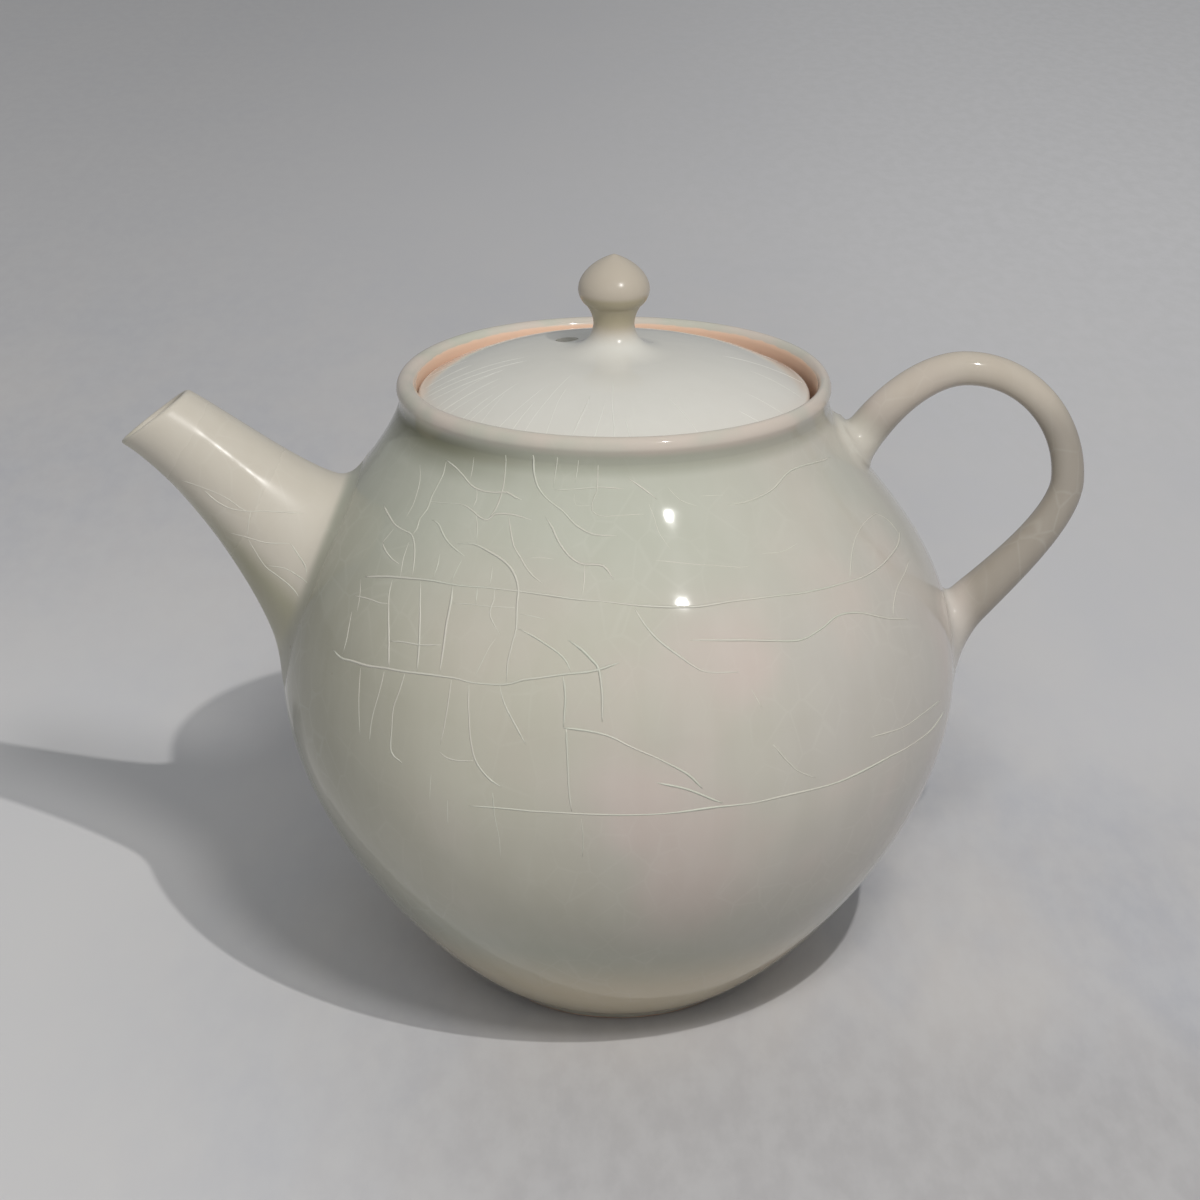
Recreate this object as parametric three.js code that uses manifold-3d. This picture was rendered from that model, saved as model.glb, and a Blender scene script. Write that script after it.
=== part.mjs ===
// A round-bellied ceramic teapot with a trumpet spout, a looped coil handle and a domed lid.
// The potter throws the globe and the lid, and lutes the other pieces on with slip before firing.
import * as THREE from "three";
import { mergeVertices } from "three/addons/utils/BufferGeometryUtils.js";
import Module from "manifold-3d";

const wasm = await Module();
wasm.setup();

// Lengths are in millimetres and angles in degrees. +Z is up, the table is z = 0, the spout points to -X.

// Globe, neck and lip
const globeRadius = 60;
const equatorHeight = 59.6;
const lowerCurveLength = 27.2;
const upperCurveLength = 26.7;
const shoulderHeight = 49.2;
const neckRadius = 37.4;
const neckSlope = 71;
const neckCurveLength = 15;
const collarHeight = 4.6;
const lipRadius = 37.8;
const lipRollHeight = 1.9;
const mouthRadius = 34.8;
const wallThickness = 3.2;
const floorThickness = 4.5;
const lutingGap = 0.3;

// The globe is thrown in one piece. It is cut level at the equator and at these heights below and above
// it, into rings that meet face to face, so that the pieces it collides with bend around the tea's room.
const bellyHeight = 29.6;
const upperBellyHeight = 30.4;

// Foot ring
const footRadius = 23.5;
const footHeight = 1.4;
const footWidth = 4;
const footChamferWidth = 0.6;
const bellyTurnLength = 7;
const bellyTurnSlope = 15.5;

// Lid seat
const seatDepth = 5.1;
const seatThickness = 2.2;
const seatBraceHeight = 2;
const seatWidth = 4.3;

// Lid
const lidClearance = 0.7;
const lidSeatGap = 0.3;
const lidRimThickness = 2.2;
const lidRimRoundRadius = 0.7;
const lidDomeHeight = 7.5;
const domeSquareness = 2.6;
const domeCrowding = 1.5;
const lidThickness = 3.2;
const flangeClearance = 0.6;
const flangeDepth = 7;
const flangeWidth = 2.6;
const steamHoleRadius = 2;
const steamHoleDistance = 11.4;
const steamHoleAngle = 136;

// Lid knob
const knobHeight = 16.8;
const knobBaseRadius = 5.6;
const knobWaistRadius = 3.55;
const knobWaistHeight = 4.6;
const knobBulbRadius = 6.2;
const knobBulbHeight = 10.6;
const knobCreaseHeight = 8.4;
const knobCreaseRadius = 4.4;
const knobStemFullness = 0.3;
const knobShoulderSag = 0.3;
const knobCrownFullness = 0.55;
const knobPointWidth = 0.45;
const knobPointHeight = 0.96;

// Spout
const spoutTipReach = 27;
const spoutTipDrop = 7;
const spoutMouthLength = 14.8;
const spoutMouthTilt = 37;
const spoutMouthHalfWidth = 7.5;
const spoutRootRise = 17.45;
const spoutRootHeight = 35.1;
const spoutRootHalfWidth = 16.5;
const spoutFlare = 1.6;
const spoutWallThickness = 2.4;
const spoutUpperRootSlope = -6;
const spoutLowerRootSlope = 86;
const spoutMouthSlope = 31;

// How far the ends of the spout's edges hold their slopes, in shares of the spout's length
const spoutUpperRootLead = 0.12;
const spoutLowerRootLead = 0.23;
const spoutMouthLead = 0.25;

// Strainer behind the spout
const strainerPortRadius = 11;
const strainerThickness = 2.2;
const strainerRimWidth = 1;
const strainerHoleRadius = 1.2;
const strainerHoleRings = 3;
const strainerHolesPerRing = 6;
const strainerHolePitch = 4.4;

// Handle coil and the wads of clay that join it
const handleReach = 19.1;
const handleReachDrop = 14;
const handleTopRise = 6;
const handleTopOffset = 16.3;
const handleUpperRootOffset = 4.3;
const handleUpperRootDrop = 4.4;
const handleUpperRootSlope = 53;
const handleLowerRootOffset = 5.2;
const handleLowerRootRise = 11.8;
const handleLowerRootSlope = 45;
const handleUpperRadius = 3.5;
const handleReachRadius = 2.8;
const handleLowerRadius = 3.5;
const upperWadRise = 3;
const upperWadDrop = 8.2;
const upperWadHalfWidth = 6;
const upperWadSpread = 0.8;
const lowerWadRise = 1.6;
const lowerWadDrop = 14.2;
const lowerWadHalfWidth = 7.5;
const lowerWadSpread = 1.2;

// How far the coil's curve holds its slope: at the roots in shares of the rise to the top or the reach,
// at the top and the reach in shares of a round quarter turn
const handleUpperRootLead = 0.68;
const handleLowerRootLead = 0.41;
const handleTopLead = 0.58;
const handleReachLead = 0.62;

// Facets
const turnSegments = 48;
const lidSegments = 44;
const knobSegments = 24;
const globeSteps = 10;
const insideSteps = 7;
const domeSteps = 6;
const lipSteps = 4;
const knobSteps = 4;
const loftSteps = 11;
const loftSides = 24;
const coilSteps = 32;
const coilSides = 12;
const wadSteps = 6;
const strainerSegments = 16;
const holeSides = 6;

// Values that follow from the sizes above or from geometry
const degree = Math.PI / 180;
const weldDistance = 1e-4;
const roundQuarter = 0.552;
const cutterReach = 3 * wallThickness;
const neckHeight = equatorHeight + shoulderHeight;
const lipHeight = neckHeight + collarHeight;
const seatHeight = lipHeight - seatDepth;
const boreBottom = seatHeight - seatThickness - seatBraceHeight;
const seatOuterRadius = mouthRadius - lutingGap;
const seatInnerRadius = seatOuterRadius - seatWidth;
const lidRadius = mouthRadius - lidClearance;
const lidBottom = seatHeight + lidSeatGap;
const lidRimTop = lidBottom + lidRimThickness;
const lidTop = lidRimTop + lidDomeHeight;
const flangeRadius = seatInnerRadius - flangeClearance;
const floorHeight = footHeight + floorThickness;
const spoutRootMiddle = equatorHeight + spoutRootRise;
const handleUpperRootHeight = neckHeight - handleUpperRootDrop;
const handleLowerRootHeight = equatorHeight + handleLowerRootRise;

// Unit vector at an angle above the level, pointing away from the pot's axis
function direction(angle) {
  return new THREE.Vector2(Math.cos(angle * degree), Math.sin(angle * degree));
}

function along(start, angle, distance) {
  return start.clone().addScaledVector(direction(angle), distance);
}

// Solid from a closed three.js mesh whose faces point out
function solidFrom(geometry) {
  const bare = geometry.index ? geometry.toNonIndexed() : geometry.clone();
  bare.deleteAttribute("normal");
  bare.deleteAttribute("uv");
  const merged = mergeVertices(bare, weldDistance);
  const corners = merged.index.array;
  const triangles = [];
  for (let i = 0; i < corners.length; i += 3) {
    const [a, b, c] = [corners[i], corners[i + 1], corners[i + 2]];
    if (a !== b && b !== c && c !== a) triangles.push(a, b, c);
  }
  return new wasm.Manifold(new wasm.Mesh({
    numProp: 3,
    vertProperties: new Float32Array(merged.attributes.position.array),
    triVerts: new Uint32Array(triangles),
  }));
}

function geometryFrom(solid) {
  const mesh = solid.getMesh();
  const geometry = new THREE.BufferGeometry();
  geometry.setAttribute("position", new THREE.BufferAttribute(new Float32Array(mesh.vertProperties), 3));
  geometry.setIndex(new THREE.BufferAttribute(new Uint32Array(mesh.triVerts), 1));
  geometry.computeVertexNormals();
  return geometry;
}

// Turned solid about the Z axis, from an outline of (radius, height) points that runs up the outside
function turned(outline, segments) {
  const geometry = new THREE.LatheGeometry(outline, segments);
  geometry.rotateX(Math.PI / 2);
  return solidFrom(geometry);
}

// Closed skin through rings. Each ring is an ellipse that spans two points of the plane y = 0.
function lofted(rings, sides) {
  const points = [];
  const triangles = [];
  for (const ring of rings) {
    const middle = ring.upper.clone().add(ring.lower).multiplyScalar(0.5);
    const half = ring.upper.clone().sub(middle);
    for (let i = 0; i < sides; i += 1) {
      const turn = (i / sides) * 2 * Math.PI;
      const rise = Math.cos(turn);
      points.push(middle.x + half.x * rise, ring.halfWidth * Math.sin(turn), middle.y + half.y * rise);
    }
  }
  for (let ring = 0; ring < rings.length - 1; ring += 1) {
    for (let i = 0; i < sides; i += 1) {
      const a = ring * sides + i;
      const b = ring * sides + ((i + 1) % sides);
      triangles.push(a, b, a + sides, b, b + sides, a + sides);
    }
  }
  const last = (rings.length - 1) * sides;
  for (let i = 1; i < sides - 1; i += 1) {
    triangles.push(0, i + 1, i);
    triangles.push(last, last + i, last + i + 1);
  }
  if (enclosedVolume(points, triangles) < 0) triangles.reverse();
  const geometry = new THREE.BufferGeometry();
  geometry.setAttribute("position", new THREE.Float32BufferAttribute(points, 3));
  geometry.setIndex(triangles);
  return solidFrom(geometry);
}

function enclosedVolume(points, triangles) {
  const corner = (index) => new THREE.Vector3().fromArray(points, triangles[index] * 3);
  let volume = 0;
  for (let i = 0; i < triangles.length; i += 3) {
    volume += corner(i).dot(corner(i + 1).cross(corner(i + 2))) / 6;
  }
  return volume;
}

// Outline points moved along their normals, to the left of the way they run
function offsetOutline(points, distance) {
  return points.map((point, i) => {
    const before = points[Math.max(i - 1, 0)];
    const after = points[Math.min(i + 1, points.length - 1)];
    const way = after.clone().sub(before).normalize();
    return new THREE.Vector2(point.x - way.y * distance, point.y + way.x * distance);
  });
}

// Radius of an outline that climbs steadily, at one height
function radiusAt(outline, height) {
  const i = outline.findIndex((point, index) => index > 0 && point.y >= height);
  const above = outline[i];
  const below = outline[i - 1];
  return THREE.MathUtils.mapLinear(height, below.y, above.y, below.x, above.x);
}

// The outside of the globe, from the foot ring up to the neck
function globeOutline(steps) {
  const foot = new THREE.Vector2(footRadius, footHeight);
  const turn = along(foot, bellyTurnSlope, bellyTurnLength);
  const neck = new THREE.Vector2(neckRadius, neckHeight);
  const shoulder = along(neck, -neckSlope, neckCurveLength);
  const outline = new THREE.Path();
  outline.moveTo(foot.x, foot.y);
  outline.bezierCurveTo(
    turn.x, turn.y, globeRadius, equatorHeight - lowerCurveLength, globeRadius, equatorHeight);
  outline.bezierCurveTo(
    globeRadius, equatorHeight + upperCurveLength, shoulder.x, shoulder.y, neck.x, neck.y);
  return outline.getPoints(steps);
}

const globeOutside = globeOutline(globeSteps);

// The inside of the globe from the floor up to the mouth's bore, set back by some thickness
function globeInside(thickness) {
  const inside = offsetOutline(globeOutline(insideSteps), thickness);
  const side = inside.filter((point) => point.y > floorHeight && point.y < boreBottom);
  const floorEdge = new THREE.Vector2(radiusAt(inside, floorHeight), floorHeight);
  const boreEdge = new THREE.Vector2(radiusAt(inside, boreBottom), boreBottom);
  return [floorEdge, ...side, boreEdge];
}

// The rolled lip, from the neck over the top to the mouth's bore
function lipOutline() {
  const rollHeight = lipHeight - lipRollHeight;
  const middle = (lipRadius + mouthRadius) / 2;
  const lip = new THREE.Path();
  lip.moveTo(neckRadius, neckHeight);
  lip.quadraticCurveTo(neckRadius, (neckHeight + rollHeight) / 2, lipRadius, rollHeight);
  lip.absellipse(middle, rollHeight, (lipRadius - mouthRadius) / 2, lipRollHeight, 0, Math.PI, false, 0);
  return lip.getPoints(lipSteps).slice(1);
}

// Everything within the globe's outer face, set out by a gap. It trims the pieces that are luted on.
function globeCutter() {
  const outside = offsetOutline(globeOutside, -lutingGap);
  const base = new THREE.Vector2(0, outside[0].y);
  const top = new THREE.Vector2(0, outside.at(-1).y);
  return turned([base, ...outside, top], turnSegments);
}

// The room inside the globe, set in by a gap. It trims the strainer.
function globeRoom() {
  const side = globeInside(wallThickness + lutingGap);
  const base = new THREE.Vector2(0, floorHeight);
  const top = new THREE.Vector2(0, boreBottom);
  return turned([base, ...side, top], turnSegments);
}

function globe() {
  const inside = globeInside(wallThickness).reverse();
  const outline = [
    new THREE.Vector2(0, footHeight),
    ...globeOutside,
    ...lipOutline(),
    new THREE.Vector2(mouthRadius, boreBottom),
    ...inside,
    new THREE.Vector2(0, floorHeight),
  ];
  return turned(outline, turnSegments).subtract(strainerPort());
}

function globeRings() {
  const up = [0, 0, 1];
  const [aboveBase, base] = globe().splitByPlane(up, equatorHeight - bellyHeight);
  const [aboveBelly, belly] = aboveBase.splitByPlane(up, equatorHeight);
  const [shoulder, upperBelly] = aboveBelly.splitByPlane(up, equatorHeight + upperBellyHeight);
  return { base, belly, upperBelly, shoulder };
}

function footRing() {
  const innerRadius = footRadius - footWidth;
  const outline = [
    new THREE.Vector2(innerRadius, footHeight),
    new THREE.Vector2(innerRadius, footChamferWidth),
    new THREE.Vector2(innerRadius + footChamferWidth, 0),
    new THREE.Vector2(footRadius - 2 * footChamferWidth, 0),
    new THREE.Vector2(footRadius - footChamferWidth, footChamferWidth),
    new THREE.Vector2(footRadius, footHeight),
    new THREE.Vector2(innerRadius, footHeight),
  ];
  return turned(outline, turnSegments);
}

function lidSeat() {
  const outline = [
    new THREE.Vector2(seatOuterRadius, boreBottom),
    new THREE.Vector2(seatOuterRadius, seatHeight),
    new THREE.Vector2(seatInnerRadius, seatHeight),
    new THREE.Vector2(seatInnerRadius, seatHeight - seatThickness),
    new THREE.Vector2(seatOuterRadius, boreBottom),
  ];
  return turned(outline, turnSegments);
}

// Where the spout's middle line meets the globe, and the way the wall faces there
function strainerFrame() {
  const reach = spoutRootHeight / 4;
  const above = radiusAt(globeOutside, spoutRootMiddle + reach);
  const below = radiusAt(globeOutside, spoutRootMiddle - reach);
  const facing = new THREE.Vector3(-2 * reach, 0, below - above).normalize();
  const outer = new THREE.Vector3(-radiusAt(globeOutside, spoutRootMiddle), 0, spoutRootMiddle);
  return { outer, facing };
}

// Cylinder or cone from one point along a way
function rod(start, way, length, startRadius, endRadius, sides) {
  const geometry = new THREE.CylinderGeometry(endRadius, startRadius, length, sides);
  geometry.translate(0, length / 2, 0);
  geometry.applyQuaternion(new THREE.Quaternion().setFromUnitVectors(new THREE.Vector3(0, 1, 0), way));
  geometry.translate(start.x, start.y, start.z);
  return solidFrom(geometry);
}

function strainerPort() {
  const { outer, facing } = strainerFrame();
  const inside = outer.clone().addScaledVector(facing, -cutterReach);
  return rod(inside, facing, 2 * cutterReach, strainerPortRadius, strainerPortRadius, strainerSegments);
}

// A pierced dome, luted to the inside of the wall around the port. The cutter of each hole starts one
// thickness inside the dome and ends one thickness outside it.
function strainer() {
  const { outer, facing } = strainerFrame();
  const innerRadius = strainerPortRadius + strainerRimWidth;
  const outerRadius = innerRadius + strainerThickness;
  const centre = outer.clone().addScaledVector(facing, -wallThickness);
  const ball = (radius) => {
    const geometry = new THREE.SphereGeometry(radius, strainerSegments, strainerSegments / 2);
    geometry.rotateZ(Math.PI / 2);
    geometry.translate(centre.x, centre.y, centre.z);
    return solidFrom(geometry);
  };
  let dome = ball(outerRadius).subtract(ball(innerRadius)).intersect(globeRoom());
  const inward = facing.clone().negate();
  const side = new THREE.Vector3(0, 1, 0);
  for (let ring = 0; ring <= strainerHoleRings; ring += 1) {
    const lean = (ring * strainerHolePitch) / outerRadius;
    const count = Math.max(1, strainerHolesPerRing * ring);
    for (let i = 0; i < count; i += 1) {
      const turn = (i / count) * 2 * Math.PI;
      const way = inward.clone().applyAxisAngle(side, lean).applyAxisAngle(inward, turn);
      const start = centre.clone().addScaledVector(way, innerRadius - strainerThickness);
      const length = 3 * strainerThickness;
      dome = dome.subtract(rod(start, way, length, strainerHoleRadius, strainerHoleRadius, holeSides));
    }
  }
  return dome;
}

// The spout's upper and lower edges in the plane y = 0, with radii counted from the pot's axis
function spoutEdges() {
  const rootTop = spoutRootMiddle + spoutRootHeight / 2;
  const rootBottom = spoutRootMiddle - spoutRootHeight / 2;
  const tip = new THREE.Vector2(globeRadius + spoutTipReach, neckHeight - spoutTipDrop);
  const crest = along(tip, 180 - spoutMouthTilt, spoutMouthLength);
  const upperRoot = new THREE.Vector2(radiusAt(globeOutside, rootTop), rootTop);
  const lowerRoot = new THREE.Vector2(radiusAt(globeOutside, rootBottom), rootBottom);
  const run = tip.distanceTo(lowerRoot);
  const upper = new THREE.CubicBezierCurve(
    upperRoot, along(upperRoot, spoutUpperRootSlope, run * spoutUpperRootLead),
    along(crest, spoutMouthSlope, -run * spoutMouthLead), crest);
  const lower = new THREE.CubicBezierCurve(
    lowerRoot, along(lowerRoot, spoutLowerRootSlope, run * spoutLowerRootLead),
    along(tip, spoutMouthSlope, -run * spoutMouthLead), tip);
  return { upper, lower };
}

function spoutRing(edges, t, inset) {
  const upper = edges.upper.getPoint(t);
  const lower = edges.lower.getPoint(t);
  const across = upper.clone().sub(lower).normalize();
  upper.addScaledVector(across, -inset);
  lower.addScaledVector(across, inset);
  upper.x = -upper.x;
  lower.x = -lower.x;
  const flare = (1 - t) ** spoutFlare;
  const halfWidth = THREE.MathUtils.lerp(spoutMouthHalfWidth, spoutRootHalfWidth, flare) - inset;
  return { upper, lower, halfWidth };
}

function shiftedRing(ring, from, distance) {
  const middle = (item) => item.upper.clone().add(item.lower).multiplyScalar(0.5);
  const step = middle(ring).sub(middle(from)).normalize().multiplyScalar(distance);
  const upper = ring.upper.clone().add(step);
  const lower = ring.lower.clone().add(step);
  return { upper, lower, halfWidth: ring.halfWidth };
}

// Outer skin or bore of the spout, carried on into the globe and, for the bore, past the mouth
function spoutSkin(inset, pastMouth) {
  const edges = spoutEdges();
  const rings = [];
  for (let i = 0; i <= loftSteps; i += 1) {
    rings.push(spoutRing(edges, i / loftSteps, inset));
  }
  const root = shiftedRing(rings[0], rings[1], spoutRootHalfWidth);
  const beyond = pastMouth ? [shiftedRing(rings.at(-1), rings.at(-2), pastMouth)] : [];
  return lofted([root, ...rings, ...beyond], loftSides);
}

function spout() {
  return spoutSkin(0, 0).subtract(spoutSkin(spoutWallThickness, spoutWallThickness)).subtract(globeCutter());
}

// The coil's middle line: up from the neck, over the top, out to its reach and back to the globe
function handlePath() {
  const beside = (height, offset) => radiusAt(globeOutside, height) + offset + lutingGap;
  const upperRoot = new THREE.Vector2(
    beside(handleUpperRootHeight, handleUpperRootOffset), handleUpperRootHeight);
  const lowerRoot = new THREE.Vector2(
    beside(handleLowerRootHeight, handleLowerRootOffset), handleLowerRootHeight);
  const top = new THREE.Vector2(upperRoot.x + handleTopOffset, neckHeight + handleTopRise);
  const reach = new THREE.Vector2(globeRadius + handleReach, neckHeight - handleReachDrop);
  const leaving = along(upperRoot, handleUpperRootSlope, (top.y - upperRoot.y) * handleUpperRootLead);
  const landing = along(lowerRoot, handleLowerRootSlope, (reach.y - lowerRoot.y) * handleLowerRootLead);
  const quarterX = (reach.x - top.x) * roundQuarter;
  const quarterY = (top.y - reach.y) * roundQuarter;
  const path = new THREE.Path();
  path.moveTo(upperRoot.x, upperRoot.y);
  path.bezierCurveTo(leaving.x, leaving.y, top.x - quarterX * handleTopLead, top.y, top.x, top.y);
  path.bezierCurveTo(top.x + quarterX, top.y, reach.x, reach.y + quarterY, reach.x, reach.y);
  path.bezierCurveTo(
    reach.x, reach.y - quarterY * handleReachLead, landing.x, landing.y, lowerRoot.x, lowerRoot.y);
  return path;
}

// Coil section at a share of the path's length
function handleRing(path, t) {
  const point = path.getPointAt(t);
  const way = path.getTangentAt(t);
  const slim = handleReachRadius;
  const end = t < 0.5 ? handleUpperRadius : handleLowerRadius;
  const radius = slim + (end - slim) * (2 * t - 1) ** 2;
  const normal = new THREE.Vector2(-way.y, way.x).multiplyScalar(radius);
  return { upper: point.clone().add(normal), lower: point.clone().sub(normal), halfWidth: radius };
}

function handle() {
  const path = handlePath();
  const rings = [];
  for (let i = 0; i <= coilSteps; i += 1) {
    rings.push(handleRing(path, i / coilSteps));
  }
  return lofted(rings, coilSides);
}

// Wad of clay between an end of the coil and the globe. It spreads as it nears the wall, and runs on
// through it before the globe is cut away.
function wad(end, topHeight, bottomHeight, halfWidth, spread) {
  const path = handlePath();
  const ring = handleRing(path, end);
  const outward = path.getTangentAt(end).multiplyScalar(end === 0 ? 1 : -1);
  const start = {
    upper: ring.upper.addScaledVector(outward, -lutingGap),
    lower: ring.lower.addScaledVector(outward, -lutingGap),
  };
  const [low, high] = [start.upper, start.lower].sort((a, b) => a.y - b.y);
  const top = new THREE.Vector2(radiusAt(globeOutside, topHeight), topHeight);
  const bottom = new THREE.Vector2(radiusAt(globeOutside, bottomHeight), bottomHeight);
  const lead = ring.halfWidth * spread;
  const upper = new THREE.QuadraticBezierCurve(high, high.clone().addScaledVector(outward, -lead), top);
  const lower = new THREE.QuadraticBezierCurve(low, low.clone().addScaledVector(outward, -lead), bottom);
  const rings = [];
  for (let i = 0; i <= wadSteps; i += 1) {
    const t = i / wadSteps;
    const width = THREE.MathUtils.lerp(ring.halfWidth, halfWidth, t * t);
    rings.push({ upper: upper.getPoint(t), lower: lower.getPoint(t), halfWidth: width });
  }
  const landed = rings.at(-1);
  const inward = new THREE.Vector2(-cutterReach, 0);
  rings.push({
    upper: landed.upper.clone().add(inward),
    lower: landed.lower.clone().add(inward),
    halfWidth: landed.halfWidth,
  });
  return lofted(rings, coilSides).subtract(globeCutter());
}

function upperWad() {
  const top = handleUpperRootHeight + upperWadRise;
  const bottom = handleUpperRootHeight - upperWadDrop;
  return wad(0, top, bottom, upperWadHalfWidth, upperWadSpread);
}

function lowerWad() {
  const top = handleLowerRootHeight + lowerWadRise;
  const bottom = handleLowerRootHeight - lowerWadDrop;
  return wad(1, top, bottom, lowerWadHalfWidth, lowerWadSpread);
}

// A dome from its rim to the axis. Its middle is flatter than a round dome's and its edge steeper.
function domeOutline(rimRadius, rimHeight, rise) {
  const points = [];
  for (let i = 0; i <= domeSteps; i += 1) {
    const share = 1 - (i / domeSteps) ** domeCrowding;
    const height = rimHeight + rise * (1 - share ** domeSquareness);
    points.push(new THREE.Vector2(rimRadius * share, height));
  }
  return points;
}

function lid() {
  const dome = domeOutline(lidRadius - lidRimRoundRadius, lidRimTop, lidDomeHeight);
  const hollowRadius = flangeRadius - flangeWidth;
  const hollowRise = lidTop - lidThickness - lidBottom;
  const hollow = domeOutline(hollowRadius, lidBottom, hollowRise).reverse();
  const outline = [
    ...hollow,
    new THREE.Vector2(lidRadius - lidRimRoundRadius, lidBottom),
    new THREE.Vector2(lidRadius, lidBottom + lidRimRoundRadius),
    new THREE.Vector2(lidRadius, lidRimTop - lidRimRoundRadius),
    ...dome.filter((point) => point.x > knobBaseRadius),
    new THREE.Vector2(knobBaseRadius, lidTop),
    new THREE.Vector2(0, lidTop),
  ];
  const steamHole = rod(
    new THREE.Vector3(
      steamHoleDistance * Math.cos(steamHoleAngle * degree),
      steamHoleDistance * Math.sin(steamHoleAngle * degree),
      lidBottom),
    new THREE.Vector3(0, 0, 1), lidDomeHeight + 2 * lidThickness, steamHoleRadius, steamHoleRadius, coilSides);
  return turned(outline, lidSegments).subtract(steamHole);
}

function lidFlange() {
  const inner = flangeRadius - flangeWidth;
  const outline = [
    new THREE.Vector2(inner, lidBottom - flangeDepth),
    new THREE.Vector2(flangeRadius - lidRimRoundRadius, lidBottom - flangeDepth),
    new THREE.Vector2(flangeRadius, lidBottom - flangeDepth + lidRimRoundRadius),
    new THREE.Vector2(flangeRadius, lidBottom),
    new THREE.Vector2(inner, lidBottom),
    new THREE.Vector2(inner, lidBottom - flangeDepth),
  ];
  return turned(outline, lidSegments);
}

// Onion knob on a waisted stem, with a low point at the tip
function lidKnob() {
  const knob = new THREE.Path();
  const bulb = knobBulbHeight;
  knob.moveTo(knobBaseRadius, 0);
  knob.quadraticCurveTo(
    knobWaistRadius, knobWaistHeight * knobStemFullness, knobWaistRadius, knobWaistHeight);
  knob.quadraticCurveTo(
    knobWaistRadius, (knobWaistHeight + knobCreaseHeight) / 2, knobCreaseRadius, knobCreaseHeight);
  knob.quadraticCurveTo(
    knobBulbRadius, (knobCreaseHeight + bulb) / 2 - knobShoulderSag, knobBulbRadius, bulb);
  knob.bezierCurveTo(
    knobBulbRadius, bulb + (knobHeight - bulb) * knobCrownFullness,
    knobBulbRadius * knobPointWidth, knobHeight * knobPointHeight, 0, knobHeight);
  const outline = [new THREE.Vector2(0, 0), ...knob.getPoints(knobSteps)];
  const raised = outline.map((point) => new THREE.Vector2(point.x, point.y + lidTop));
  return turned(raised, knobSegments);
}

const glaze = { roughness: 0.12, metalness: 0 };
const biscuit = { roughness: 0.85, metalness: 0 };

function piece(name, solid, colour, finish) {
  const mesh = new THREE.Mesh(
    geometryFrom(solid), new THREE.MeshStandardMaterial({ color: colour, ...finish }));
  mesh.name = name;
  return mesh;
}

const rings = globeRings();
const pot = new THREE.Group();
pot.add(piece("pot_base", rings.base, 0xb6b2a5, glaze));
pot.add(piece("pot_belly", rings.belly, 0xb6b2a5, glaze));
pot.add(piece("pot_upper_belly", rings.upperBelly, 0xb6b2a5, glaze));
pot.add(piece("pot_shoulder", rings.shoulder, 0xb6b2a5, glaze));
pot.add(piece("foot_ring", footRing(), 0xb08468, biscuit));
pot.add(piece("lid_seat", lidSeat(), 0xc99a7c, biscuit));
pot.add(piece("spout", spout(), 0xbdb9ad, glaze));
pot.add(piece("strainer", strainer(), 0xb4b0a4, glaze));
pot.add(piece("handle", handle(), 0x9c948a, glaze));
pot.add(piece("handle_upper_wad", upperWad(), 0xb1ad9f, glaze));
pot.add(piece("handle_lower_wad", lowerWad(), 0xaaa699, glaze));

const cover = new THREE.Group();
cover.add(piece("lid", lid(), 0xc9c5bb, glaze));
cover.add(piece("lid_flange", lidFlange(), 0xb88f74, biscuit));
cover.add(piece("lid_knob", lidKnob(), 0xbdb7a9, glaze));

// The whole teapot stands with the middle of its footprint on the origin
const group = new THREE.Group();
group.add(pot, cover);
const reach = new THREE.Box3().setFromObject(group);
group.position.x = -(reach.min.x + reach.max.x) / 2;

export default group;
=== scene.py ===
"""A glazed ceramic teapot with a trumpet spout, a looped coil handle and a domed lid."""
import math

import bpy
import numpy as np
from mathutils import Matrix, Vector


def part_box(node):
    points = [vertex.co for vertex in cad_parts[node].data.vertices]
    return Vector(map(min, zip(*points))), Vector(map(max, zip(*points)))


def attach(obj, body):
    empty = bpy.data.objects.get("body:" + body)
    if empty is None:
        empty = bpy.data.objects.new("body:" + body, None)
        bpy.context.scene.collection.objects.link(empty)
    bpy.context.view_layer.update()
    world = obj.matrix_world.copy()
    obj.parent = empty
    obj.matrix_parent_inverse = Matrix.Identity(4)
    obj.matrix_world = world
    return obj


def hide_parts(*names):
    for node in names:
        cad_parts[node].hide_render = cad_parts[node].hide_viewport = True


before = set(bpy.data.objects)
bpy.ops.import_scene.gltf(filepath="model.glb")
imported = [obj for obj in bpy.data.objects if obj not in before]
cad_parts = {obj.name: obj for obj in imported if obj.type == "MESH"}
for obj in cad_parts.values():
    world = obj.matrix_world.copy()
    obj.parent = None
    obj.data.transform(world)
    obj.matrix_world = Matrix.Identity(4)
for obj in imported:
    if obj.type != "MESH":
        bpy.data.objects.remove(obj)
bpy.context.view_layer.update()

# Lengths are in millimetres and angles in degrees. Points are counted from the pot's axis on
# the table.
MM = 0.001
CRISP_ANGLE = 35
FOOT_LOW, FOOT_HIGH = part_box("foot_ring")
AXIS_X = (FOOT_LOW.x + FOOT_HIGH.x) / 2 / MM

# Globe, neck and lip, as the solid model has them
GLOBE_RADIUS = 60
EQUATOR_HEIGHT = 59.6
LOWER_FULLNESS = 27.2
UPPER_FULLNESS = 26.7
NECK = (37.4, 108.8)
NECK_SLOPE = 71
NECK_FULLNESS = 15
LIP_RADIUS = 37.8
LIP_HEIGHT = 113.4
LIP_ROLL = 1.9
MOUTH_RADIUS = 34.8
WALL = 3.2
FLOOR_HEIGHT = 5.9
BORE_BOTTOM = 104.1
FOOT = (23.5, 1.4)
BELLY_TURN = 7
BELLY_TURN_SLOPE = 15.5

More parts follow.
